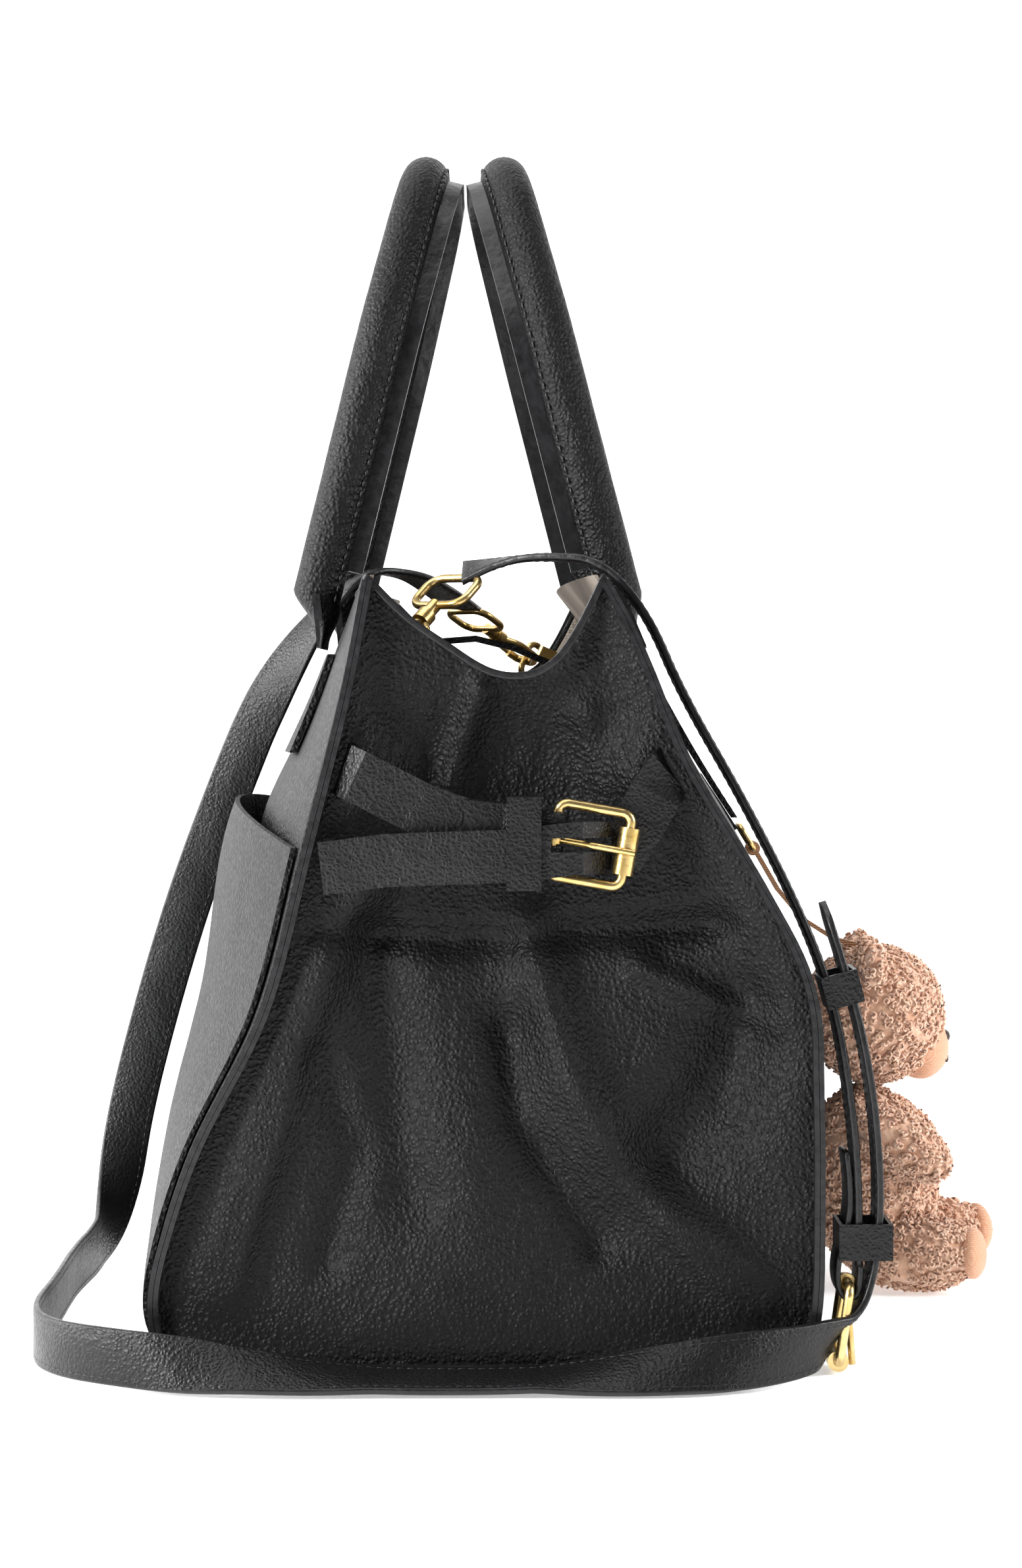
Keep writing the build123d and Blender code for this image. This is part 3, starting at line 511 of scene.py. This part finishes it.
def stitches(name, lines, step=0.0036, size=(0.00032, 0.00032, 0.0013), look=None, body="bag"):
    """One piece with a row of stitches along each line of points, riding on a body."""
    points, edges = [], []
    for line in lines:
        base = len(points)
        points += [tuple(p) for p in line]
        edges += [(base + k, base + k + 1) for k in range(len(line) - 1)]
    mesh = bpy.data.meshes.new(name)
    mesh.from_pydata(points, edges, [])
    made = bpy.data.objects.new(name, mesh)
    scene.collection.objects.link(made)
    live = made.modifiers.new("stitches", "NODES")
    live.node_group = STITCH_GROUP
    live[STITCH_KEYS["step"]] = step
    live[STITCH_KEYS["size"]] = size
    live[STITCH_KEYS["look"]] = look or thread
    plain(made)
    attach(made, body)
    return made


# %% [markdown]
# ## The two straps
# Each has a row of stitches inside both edges, on both faces.

# %% Straps
def strap_stitches(name, line, frames, width, thick, skip=4):
    rows = []
    for across_sign in (-1, 1):
        for face in (-1, 1):
            rows.append([p + w * (across_sign * (width / 2 - 0.0024)) + a.cross(w) * (face * thick * 0.47)
                         for p, (a, w) in list(zip(line, frames))[skip:-skip]])
    return stitches(name, rows)


STRAP_WIDTH, STRAP_THICK = 0.020, 0.0026
straps = {}
for name, route, tip in (("short", in_metres(SHORT_ROUTE), 0.0), ("long", in_metres(LONG_ROUTE), 0.012)):
    line = smooth_line(name, [p for p, _ in route])
    frames = width_frames(line, route)
    made = ribbon(name + "_strap_leather", line, frames, STRAP_WIDTH, STRAP_THICK, tip)
    sewn = strap_stitches(name + "_strap_stitches", line, frames, STRAP_WIDTH, STRAP_THICK)
    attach(made, "bag")
    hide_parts(name + "_strap")
    straps[name] = (made, line, sewn)
    print(name, "strap", round(line_length(line), 4))

tail = in_metres(TAIL_ROUTE)
tail_line = smooth_line("tail", [p for p, _ in tail])
tail_piece = ribbon("short_strap_fold", tail_line, width_frames(tail_line, tail), 0.0196, 0.0022)
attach(tail_piece, "bag")

made, line, sewn = straps["short"]
made, line, sewn = straps["long"]

# %% [markdown]
# ## Bag body
# The walls are soft leather over a cloth lining. They could be sculpted, but a table of heights and
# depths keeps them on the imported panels. A row is a height, the depth at an end and at the middle.

# %% Walls
BACK_WALL = [(0, 106, 110), (3, 113, 117), (10, 119, 125), (30, 121.5, 129), (77, 108, 122), (130, 82, 107),
             (192, 65.5, 94), (247, 52, 68), (289, 44, 50)]
FRONT_WALL = [(0, -106, -110), (3, -113, -117), (10, -119, -123), (30, -122, -127), (112, -122, -132),
              (141, -119, -127), (174, -103, -112), (221, -75, -82), (264, -57, -54), (289, -43.5, -34)]
DIP = [(-43.5, 289), (-34, 270), (-26, 258.6), (-15.7, 252.9), (-1.7, 254), (14.8, 264),
       (28.8, 274), (44, 289)]
HALF_WIDTH, TOP, LEATHER = 190.0, 289.0, 1.8


def between(table, at, column):
    """Smooth curve through one column of a table, by its first column."""
    last = len(table) - 1
    i = next((k for k in range(last) if at <= table[k + 1][0]), last - 1)
    p = [table[min(max(k, 0), last)] for k in (i - 1, i, i + 1, i + 2)]
    span = p[2][0] - p[1][0]
    t = (at - p[1][0]) / span
    slope_in = (p[2][column] - p[0][column]) / (p[2][0] - p[0][0]) * span
    slope_out = (p[3][column] - p[1][column]) / (p[3][0] - p[1][0]) * span
    return ((2 * t**3 - 3 * t**2 + 1) * p[1][column] + (t**3 - 2 * t**2 + t) * slope_in
            + (3 * t**2 - 2 * t**3) * p[2][column] + (t**3 - t**2) * slope_out)


def wall(table, x, z):
    full = 1 - (x / HALF_WIDTH) ** 2
    return between(table, z, 1) * (1 - full) + between(table, z, 2) * full


def step_up(value, low, high):
    t = min(max((value - low) / (high - low), 0.0), 1.0)
    return t * t * (3 - 2 * t)


def panel_point(table, x, z, inset):
    """A wall's point, with the soft unevenness of leather that always gives inwards."""
    inward = -1 if table is BACK_WALL else 1
    fade = step_up(HALF_WIDTH - abs(x), 2, 45) * step_up(z, 8, 50) * step_up(TOP - z, 12, 60)
    soft = 1.5 * (1 + noise.noise(Vector((x * 0.016, z * 0.021, 3.0 * inward))))
    soft += 0.5 * (1 + noise.noise(Vector((x * 0.05, z * 0.06, 7.0 * inward))))
    fade *= 1 - 0.75 * step_up(z, 180, 206)
    return Vector((x, wall(table, x, z) + inward * (inset + soft * fade), z)) * MM


def panel(name, table, inset, material, low, high, thick, columns=110, rows=84):
    half = HALF_WIDTH - LEATHER - 0.3
    points = []
    for r in range(rows + 1):
        z = low + (high - low) * r / rows
        for c in range(columns + 1):
            points.append(panel_point(table, -half + 2 * half * c / columns, z, inset))
    made = mesh_piece(name, points, grid_faces(rows, columns, flip=table is BACK_WALL), [material])
    thickened(made, thick)
    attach(made, "bag")
    return made


front = panel("front_panel_leather", FRONT_WALL, 0.0, body_leather, 2.2, TOP, LEATHER * MM)
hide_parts("front_panel")
back = panel("back_panel_leather", BACK_WALL, 0.0, body_leather, 2.2, TOP, LEATHER * MM)
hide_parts("back_panel")
front_cloth = panel("front_lining", FRONT_WALL, 3.4, lining_cloth, 12, 211, 0.0006, 60, 50)
back_cloth = panel("back_lining", BACK_WALL, 3.4, lining_cloth, 12, 211, 0.0006, 60, 50)
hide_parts("lining")

# %% [markdown]
# ## Gussets
# The belt pulls each end in. Folds run from it down to the base: ridges stand out and hollows go in,
# each a line of (y, z) with its half width and its height.

# %% Gussets
FOLDS = [([(16, 196), (10, 222), (2, 246)], 6, 6.0),
         ([(36, 186), (56, 152), (71, 120), (78, 90), (96, 36)], 9, 9.5),
         ([(42, 160), (35, 118), (27, 66)], 12, -6.5),
         ([(-16, 158), (-23, 136), (-32, 106), (-54, 70), (-95, 30)], 9, 8.5),
         ([(-98, 124), (-84, 98), (-66, 78)], 17, -11.0),
         ([(-111, 146), (-110, 130)], 6, 4.0),
         ([(64, 160), (10, 155), (-86, 162)], 6, -5.0),
         ([(12, 64), (0, 24)], 32, 5.0),
         ([(60, 112), (46, 80), (58, 40)], 7, -4.0),
         ([(-8, 124), (-12, 92), (-40, 48)], 8, -5.0),
         ([(-56, 146), (-88, 132), (-108, 124)], 5, 4.0),
         ([(-44, 200), (-36, 238)], 7, 4.0)]
SLOTS = [(50.3, 218.0), (-66.3, 218.0)]


def off_line(y, z, line):
    """Distance from a point to a line of points."""
    best = 1e9
    for (ay, az), (by, bz) in zip(line, line[1:]):
        dy, dz = by - ay, bz - az
        t = min(max(((y - ay) * dy + (z - az) * dz) / (dy * dy + dz * dz), 0.0), 1.0)
        best = min(best, math.hypot(y - ay - t * dy, z - az - t * dz))
    return best


def stand_out(y, z):
    """How far the gusset stands out of its flat plane, in millimetres."""
    u = (y - between(BACK_WALL, z, 1)) / (between(FRONT_WALL, z, 1) - between(BACK_WALL, z, 1))
    hold = step_up(min(u, 1 - u), 0.0, 0.16)
    pulled = -14.0 * math.sin(math.pi * min(max(u, 0), 1)) * step_up(z, 75, 178)
    out = pulled * (1 - 0.8 * step_up(z, 220, 260)) - 4.0 * step_up(z, 10, 60)
    for line, half, height in FOLDS:
        out += height * math.exp(-(off_line(y, z, line) / half) ** 2)
    out += 0.9 * noise.noise(Vector((y * 0.045, z * 0.03, 2.0)))
    out += 0.35 * noise.noise(Vector((y * 0.16, z * 0.09, 5.0)))
    near = min(math.hypot(y - sy, z - sz) for sy, sz in SLOTS)
    from_seam = min(abs(y - between(BACK_WALL, z, 1)), abs(y - between(FRONT_WALL, z, 1)))
    wander = 1.7 * noise.noise(Vector((z * 0.05, 1, 1)))
    pucker = 0.55 * math.sin(z * 0.62 + wander) * math.exp(-from_seam / 9)
    out += pucker * step_up(from_seam, 0.5, 4)
    return min(out, 2.5) * hold * step_up(near, 8, 30) * step_up(z, 0, 22)


def end_y(u, z):
    """Place across an end at a height, from the back wall at u = 0 to the front wall at u = 1."""
    return between(BACK_WALL, z, 1) * (1 - u) + between(FRONT_WALL, z, 1) * u


def gusset_height(u):
    """Height of the dipping rim, by repeated half steps, because place and height depend on each other."""
    z = 262.0
    for _ in range(60):
        z = 0.5 * z + 0.5 * between(DIP, min(max(end_y(u, z), -43.5), 44), 1)
    return min(z, TOP - 0.5)


def gusset(name, side, inset, material, low, thick, columns=120, rows=140):
    points = []
    tops = [gusset_height(c / columns) for c in range(columns + 1)]
    for r in range(rows + 1):
        for c, top in enumerate(tops):
            z = low + (top - inset - low) * r / rows
            y = end_y(c / columns, z)
            x = HALF_WIDTH + stand_out(y, z) - inset
            points.append(Vector((side * x, y, z)) * MM)
    made = mesh_piece(name, points, grid_faces(rows, columns, flip=side > 0), [material])
    thickened(made, thick)
    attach(made, "bag")
    return made


RIM_STEPS = 60
for side, word in ((-1, "left"), (1, "right")):
    end = gusset(word + "_gusset_leather", side, 0.0, body_leather, 0.3, LEATHER * MM)
    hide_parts(word + "_gusset")
    rim = []
    for k in range(RIM_STEPS + 1):
        z = gusset_height(k / RIM_STEPS)
        rim.append(Vector((side * HALF_WIDTH, end_y(k / RIM_STEPS, z), z)) * MM)
    rim_frames = []
    for k in range(RIM_STEPS + 1):
        along = (rim[min(k + 1, RIM_STEPS)] - rim[max(k - 1, 0)]).normalized()
        rim_frames.append((along, Vector((1, 0, 0))))
    binding = ribbon(word + "_gusset_binding", rim, rim_frames, 0.0042, 0.0026)
    paint(binding, edge_paint)
    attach(binding, "bag")
    cloth = gusset(word + "_gusset_lining", side, 2.6, lining_cloth, 12, 0.0006, 60, 60)
print("walls and gussets made")

# %% [markdown]
# ## Stitches on the body
# Thread borders each belt slot, runs under the rim and goes round three sides of each handle tab.

# %% Body stitches
def slot_border(side, centre, lean, long=33.0, wide=11.0):
    """A stitched border round a belt's slot."""
    turn = math.radians(lean)
    line = []
    for k in range(49):
        a = 2 * math.pi * k / 48
        p = max(abs(math.cos(a)), abs(math.sin(a)))
        across, down = wide / 2 * math.cos(a) / p, long / 2 * math.sin(a) / p
        y = centre[0] + across * math.cos(turn) - down * math.sin(turn)
        z = centre[1] + across * math.sin(turn) + down * math.cos(turn)
        line.append(Vector((side * (HALF_WIDTH + stand_out(y, z) + 0.1), y, z)) * MM)
    return line


SLOT_LEANS = (18, -23)
for side, word in ((-1, "left"), (1, "right")):
    borders = [slot_border(side, centre, lean) for centre, lean in zip(SLOTS, SLOT_LEANS)]
    stitches(word + "_slot_stitches", borders)
rims = []
for table, outward in ((BACK_WALL, 1), (FRONT_WALL, -1)):
    rims.append([Vector((x, wall(table, x, TOP - 5) + outward * 0.2, TOP - 5)) * MM
                 for x in range(-184, 185, 4)])
stitches("rim_stitches", rims)
LEG_OUT = 95
tabs = []
for table, outward, low in ((BACK_WALL, 1, 223), (FRONT_WALL, -1, 198)):
    for middle in (-LEG_OUT, LEG_OUT):
        corner = [(-12, 259), (-12, low + 3), (12, low + 3), (12, 259)]
        line = []
        for (ax, az), (bx, bz) in zip(corner, corner[1:]):
            for k in range(12):
                x, z = middle + ax + (bx - ax) * k / 12, az + (bz - az) * k / 12
                line.append(Vector((x, wall(table, x, z) + outward * 2.75, z)) * MM)
        tabs.append(line)
stitches("tab_stitches", tabs)
print("rows on the rims", len(rims), "and tabs", len(tabs))

# %% [markdown]
# ## Closure tab
# Its leather is a copy of the imported tab, in strap leather, set in place of it.

# %% Closure tab
tab_mesh = nodes["closure_tab"].data.copy()
tab_piece = bpy.data.objects.new("closure_tab_leather", tab_mesh)
scene.collection.objects.link(tab_piece)
paint(tab_piece, strap_leather)
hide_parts("closure_tab")
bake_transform(tab_piece)
print("closure tab points", len(tab_mesh.vertices))

# %% [markdown]
# ## Handles
# A roll of leather round a rope. Each leg narrows below the roll to a flat foot on its tab. A
# bevelled curve can't change from round to flat, so each roll is lofted through sections instead.

# %% Handles
ROLL = 9.5
LEG_STEPS = 12


def rounded_way(corners, radii, steps=16):
    """A run of straight lines whose corners are arcs of the given radii, as 2-D points."""
    line = [Vector(corners[0])]
    for a, b, c, radius in zip(corners, corners[1:], corners[2:], radii):
        a, b, c = Vector(a), Vector(b), Vector(c)
        come, go = (a - b).normalized(), (c - b).normalized()
        half = come.angle(go) / 2
        middle = b + (come + go).normalized() * (radius / math.sin(half))
        first = b + come * (radius / math.tan(half)) - middle
        last = b + go * (radius / math.tan(half)) - middle
        sweep = first.angle(last)
        for k in range(steps + 1):
            t = k / steps
            spoke = first * math.sin((1 - t) * sweep) + last * math.sin(t * sweep)
            line.append(middle + spoke / math.sin(sweep))
    line.append(Vector(corners[-1]))
    return line


def handle_roll(face, hinge, foot, top, inward):
    rise = Vector((0, top[0] - foot[0], top[1] - foot[1]))
    height = rise.length
    up = rise.normalized()
    flat = up.cross(Vector((1, 0, 0)))
    if flat.y * inward < 0:
        flat = -flat
    corners = [(-LEG_OUT, 0), (-90, 0.62 * height), (-56, height),
               (56, height), (90, 0.62 * height), (LEG_OUT, 0)]
    way = rounded_way(corners, [70, 44, 44, 70])
    spaced = [way[0]]
    for a, b in zip(way, way[1:]):
        parts = max(1, round((b - a).length / 5))
        spaced += [a + (b - a) * ((k + 1) / parts) for k in range(parts)]
    base = Vector((0, *foot))
    stations = []
    for i, spot in enumerate(spaced):
        along = (spaced[min(i + 1, len(spaced) - 1)] - spaced[max(i - 1, 0)]).normalized()
        centre = base + Vector((spot.x, 0, 0)) + up * spot.y
        side = Vector((-along.y, 0, 0)) + up * along.x
        stations.append((centre, side, ROLL, ROLL))
    low_end = []
    for k in range(LEG_STEPS, 0, -1):
        t = k / LEG_STEPS
        ease = step_up(t, 0, 0.85)
        centre = base * (1 - t) + Vector((0, hinge[0], hinge[1] - 2)) * t
        centre += flat * (ROLL * 0.55 * ease * (1 - t))
        low_end.append((centre, ROLL + 3.0 * ease, ROLL * (1 - ease) + 2.2 * ease))
    left = [(c + Vector((-LEG_OUT, 0, 0)), Vector((-1, 0, 0)), wide, deep)
            for c, wide, deep in low_end]
    right = [(c + Vector((LEG_OUT, 0, 0)), Vector((1, 0, 0)), wide, deep)
             for c, wide, deep in reversed(low_end)]
    sides = 28
    points, faces = [], []
    stations = left + stations + right
    for i, (centre, side, wide, deep) in enumerate(stations):
        for k in range(sides):
            a = 2 * math.pi * k / sides
            grain = 1 + 0.012 * noise.noise(Vector((i * 0.35, k * 0.5, 4.0)))
            off = side * (wide * grain * math.cos(a)) + flat * (deep * grain * math.sin(a))
            points.append((centre + off) * MM)
    for i in range(len(stations) - 1):
        for k in range(sides):
            a, b = i * sides + k, i * sides + (k + 1) % sides
            faces.append((a, b, b + sides, a + sides))
    last = (len(stations) - 1) * sides
    faces += [tuple(reversed(range(sides))), tuple(range(last, last + sides))]
    made = mesh_piece(face + "_handle_leather", points, faces, [body_leather])
    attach(made, face + "_handle")
    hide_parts(face + "_handle_wrap")
    rows = []
    for hand in (-1, 1):
        rows.append([(centre + side * (hand * ROLL * 0.66) + flat * (ROLL * 0.79)) * MM
                     for centre, side, _, _ in stations[LEG_STEPS:-LEG_STEPS]])
    stitches(face + "_handle_stitches", rows, step=0.0042, size=(0.0006, 0.0006, 0.0016),
             body=face + "_handle")


handle_roll("back", (63.5, 265), (65.5, 284), (24, 455), -1)
handle_roll("front", (-61, 265), (-51.2, 285), (-7.5, 455), 1)
print("handles made")

# %% [markdown]
# ## Bear charm
# Stuffed pieces covered in small curls of pile, with a ribbed muzzle, foot pads and a stitched smile.
# Hair would suit the pile but is lost on the way out, so Geometry Nodes set real curls on each piece.

# %% Bear
def curl_group():
    """Curls of pile over a surface, added to it and made real."""
    group = bpy.data.node_groups.new("curls", "GeometryNodeTree")
    group.interface.new_socket("Geometry", in_out="INPUT", socket_type="NodeSocketGeometry")
    amount = group.interface.new_socket("Density", in_out="INPUT", socket_type="NodeSocketFloat")
    seed = group.interface.new_socket("Seed", in_out="INPUT", socket_type="NodeSocketInt")
    look = group.interface.new_socket("Material", in_out="INPUT", socket_type="NodeSocketMaterial")
    group.interface.new_socket("Geometry", in_out="OUTPUT", socket_type="NodeSocketGeometry")
    start = add_node(group, "NodeGroupInput")
    end = add_node(group, "NodeGroupOutput")
    spots = add_node(group, "GeometryNodeDistributePointsOnFaces")
    coil = add_node(group, "GeometryNodeCurveSpiral",
                    {"Resolution": 9, "Rotations": 1.3, "Start Radius": 0.0013,
                     "End Radius": 0.0007, "Height": 0.0022})
    ring = add_node(group, "GeometryNodeCurvePrimitiveCircle", {"Resolution": 4, "Radius": 0.00055})
    tube = add_node(group, "GeometryNodeCurveToMesh")
    place = add_node(group, "GeometryNodeInstanceOnPoints")
    spin = add_node(group, "FunctionNodeRandomValue", data_type="FLOAT_VECTOR")
    spin.inputs[0].default_value = (-0.7, -0.7, 0.0)
    spin.inputs[1].default_value = (0.7, 0.7, 6.28)
    turn = add_node(group, "GeometryNodeRotateInstances")
    real = add_node(group, "GeometryNodeRealizeInstances")
    shade = add_node(group, "GeometryNodeSetShadeSmooth")
    join = add_node(group, "GeometryNodeJoinGeometry")
    paint_it = add_node(group, "GeometryNodeSetMaterial")
    link = group.links.new
    link(start.outputs["Geometry"], spots.inputs["Mesh"])
    link(start.outputs["Density"], spots.inputs["Density"])
    link(start.outputs["Seed"], spots.inputs["Seed"])
    link(spots.outputs["Points"], place.inputs["Points"])
    link(spots.outputs["Rotation"], place.inputs["Rotation"])
    link(coil.outputs["Curve"], tube.inputs["Curve"])
    link(ring.outputs["Curve"], tube.inputs["Profile Curve"])
    link(tube.outputs["Mesh"], place.inputs["Instance"])
    link(place.outputs["Instances"], turn.inputs["Instances"])
    link(spin.outputs[0], turn.inputs["Rotation"])
    link(turn.outputs["Instances"], real.inputs[0])
    link(real.outputs[0], shade.inputs[0])
    link(start.outputs["Geometry"], join.inputs[0])
    link(shade.outputs[0], join.inputs[0])
    link(join.outputs[0], paint_it.inputs["Geometry"])
    link(start.outputs["Material"], paint_it.inputs["Material"])
    link(paint_it.outputs["Geometry"], end.inputs[0])
    return group, {"amount": amount.identifier, "seed": seed.identifier, "look": look.identifier}


CURL_GROUP, CURL_KEYS = curl_group()


def stuffed(shapes, lump=0.9, rings=36, sides=56):
    """Points and faces of egg shapes given as (centre, axis, radius, half length), a little lumpy."""
    points, faces = [], []
    for centre, axis, radius, half in shapes:
        axis = Vector(axis).normalized()
        side = axis.cross(Vector((0.31, 0.2, 0.93))).normalized()
        up = axis.cross(side)
        base = len(points)
        for r in range(rings + 1):
            a = math.pi * r / rings
            for s in range(sides):
                b = 2 * math.pi * s / sides
                off = (side * math.cos(b) + up * math.sin(b)) * (radius * math.sin(a))
                off += axis * (half * math.cos(a))
                spot = Vector(centre) + off
                grow = lump * noise.noise(spot * 0.09)
                points.append((spot + off.normalized() * grow) * MM)
        for r in range(rings):
            for s in range(sides):
                p, q = base + r * sides + s, base + r * sides + (s + 1) % sides
                faces.append((p, p + sides, q + sides, q))
    return points, faces


def plush_piece(name, shapes, node, seed, density=165000.0):
    points, faces = stuffed(shapes)
    made = mesh_piece(name, points, faces, [plush])
    live = made.modifiers.new("curls", "NODES")
    live.node_group = CURL_GROUP
    live[CURL_KEYS["amount"]] = density
    live[CURL_KEYS["seed"]] = seed
    live[CURL_KEYS["look"]] = plush
    plain(made)
    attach(made, "bear")
    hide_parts(node)
    print(name, "faces", len(made.data.polygons))


plush_piece("bear_head_plush", [((0, -162.5, 112), (1, 0.02, 0), 27.5, 28),
                                ((-21, -158, 134), (-0.2, 1, 0), 10, 5),
                                ((21, -158, 134), (0.2, 1, 0), 10, 5)], "bear_head", 3)
plush_piece("bear_torso_plush", [((0, -161, 43), (0, 0.12, 1), 26.5, 38)], "bear_torso", 5)
plush_piece("bear_arms_plush", [((-28, -171, 61), (-0.2, -0.8, -0.5), 10.5, 21),
                                ((28, -173, 62), (0.25, -0.8, -0.45), 10.5, 21)], "bear_arms", 7)
plush_piece("bear_legs_plush", [((-22, -176, 16), (-0.3, -0.95, 0.03), 14.0, 28),
                                ((21, -183, 16.5), (0.2, -0.97, 0.06), 14.0, 31)], "bear_legs", 9)


def soft_patch(name, shapes, material):
    points, faces = stuffed(shapes, lump=0.3, rings=22, sides=40)
    made = mesh_piece(name, points, faces, [material])
    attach(made, "bear")


soft_patch("bear_muzzle", [((0, -182, 98), (0, 1, 0.1), 13.5, 11.5)], ribbed_cloth)
soft_patch("bear_foot_pads", [((-29.4, -199.5, 16.7), (-0.3, -0.95, 0.03), 10.5, 5.5),
                              ((26.5, -209.5, 18.3), (0.2, -0.97, 0.06), 10.5, 5.5)], ribbed_cloth)
smile = []
for sign in (-1, 1):
    half_smile = []
    for k in range(11):
        t = k / 10
        spot = (sign * (0.3 + 6.5 * t), -193.0 + 2.6 * t * t, 95.5 - 3.2 * math.sin(math.pi * t))
        half_smile.append(Vector(spot) * MM)
    smile.append(half_smile)
stitches("bear_smile", smile, step=0.0012, size=(0.0005, 0.0005, 0.0009), look=bead, body="bear")

# %% [markdown]
# ## Floor and light
# A pale floor and two glowing backdrops, under four soft boxes: over the bag, off its left end at
# the back, behind its back panel and by its front. Black leather shows its shape by what it mirrors.

# %% Floor and light
floor_material, floor_tree, floor_shader = new_material("pale_floor", Roughness=0.6)
floor_place = add_node(floor_tree, "ShaderNodeTexCoord")
floor_noise = add_node(floor_tree, "ShaderNodeTexNoise", {"Scale": 3.0})
floor_tree.links.new(floor_place.outputs["Object"], floor_noise.inputs["Vector"])
floor_tone = ramp(floor_tree, floor_noise.outputs["Fac"],
                  [(0.3, linear("#f7f7f7")), (0.7, linear("#fbfbfb"))])
floor_tree.links.new(floor_tone.outputs["Color"], floor_shader.inputs["Base Color"])
floor_shader.inputs["Emission Color"].default_value = (1, 1, 1, 1)
floor_shader.inputs["Emission Strength"].default_value = 0.45
FLOOR_HALF, FLOOR_Z = 6.0, -0.0004
floor = mesh_piece("floor", [(-FLOOR_HALF, -FLOOR_HALF, FLOOR_Z), (FLOOR_HALF, -FLOOR_HALF, FLOOR_Z),
                             (FLOOR_HALF, FLOOR_HALF, FLOOR_Z), (-FLOOR_HALF, FLOOR_HALF, FLOOR_Z)],
                   [(0, 1, 2, 3)], [floor_material], smooth=False)


def softbox(name, place, aim, size, power):
    data = bpy.data.lights.new(name, "AREA")
    data.shape = "RECTANGLE"
    data.size, data.size_y = size
    data.energy = power
    made = bpy.data.objects.new(name, data)
    made.location = place
    made.rotation_euler = (Vector(aim) - Vector(place)).to_track_quat("-Z", "Y").to_euler()
    scene.collection.objects.link(made)


softbox("top", (-0.2, 0.3, 1.6), (0, 0, 0.2), (1.2, 1.2), 17)
softbox("left", (-1.0, 1.15, 0.75), (-0.15, 0.05, 0.15), (0.45, 0.8), 44)
softbox("behind_left", (0.1, 1.6, 0.7), (0, 0.1, 0.15), (0.9, 1.0), 45)
softbox("front", (-0.45, -1.5, 0.7), (-0.05, -0.15, 0.1), (0.7, 0.7), 24)
world = bpy.data.worlds.new("studio")
world.use_nodes = True
world.node_tree.nodes["Background"].inputs["Color"].default_value = (1, 1, 1, 1)
world.node_tree.nodes["Background"].inputs["Strength"].default_value = 0.16
sweep_material, _, sweep_shader = new_material("backdrop", Roughness=0.9, Emission_Strength=0.95)
sweep_shader.inputs["Emission Color"].default_value = (1, 1, 1, 1)
backdrop = mesh_piece("backdrop",
                      [(3.2, -6, -0.6), (3.2, 6, -0.6), (3.2, 6, 6), (3.2, -6, 6)],
                      [(0, 3, 2, 1)], [sweep_material], smooth=False)
side_drop = mesh_piece("side_backdrop",
                       [(-6, 4.5, -0.6), (3.2, 4.5, -0.6), (3.2, 4.5, 6), (-6, 4.5, 6)],
                       [(0, 1, 2, 3)], [sweep_material], smooth=False)
scene.world = world
scene.view_settings.view_transform = "Standard"
print("soft boxes", len(bpy.data.lights))

# %% Update
bpy.context.view_layer.update()
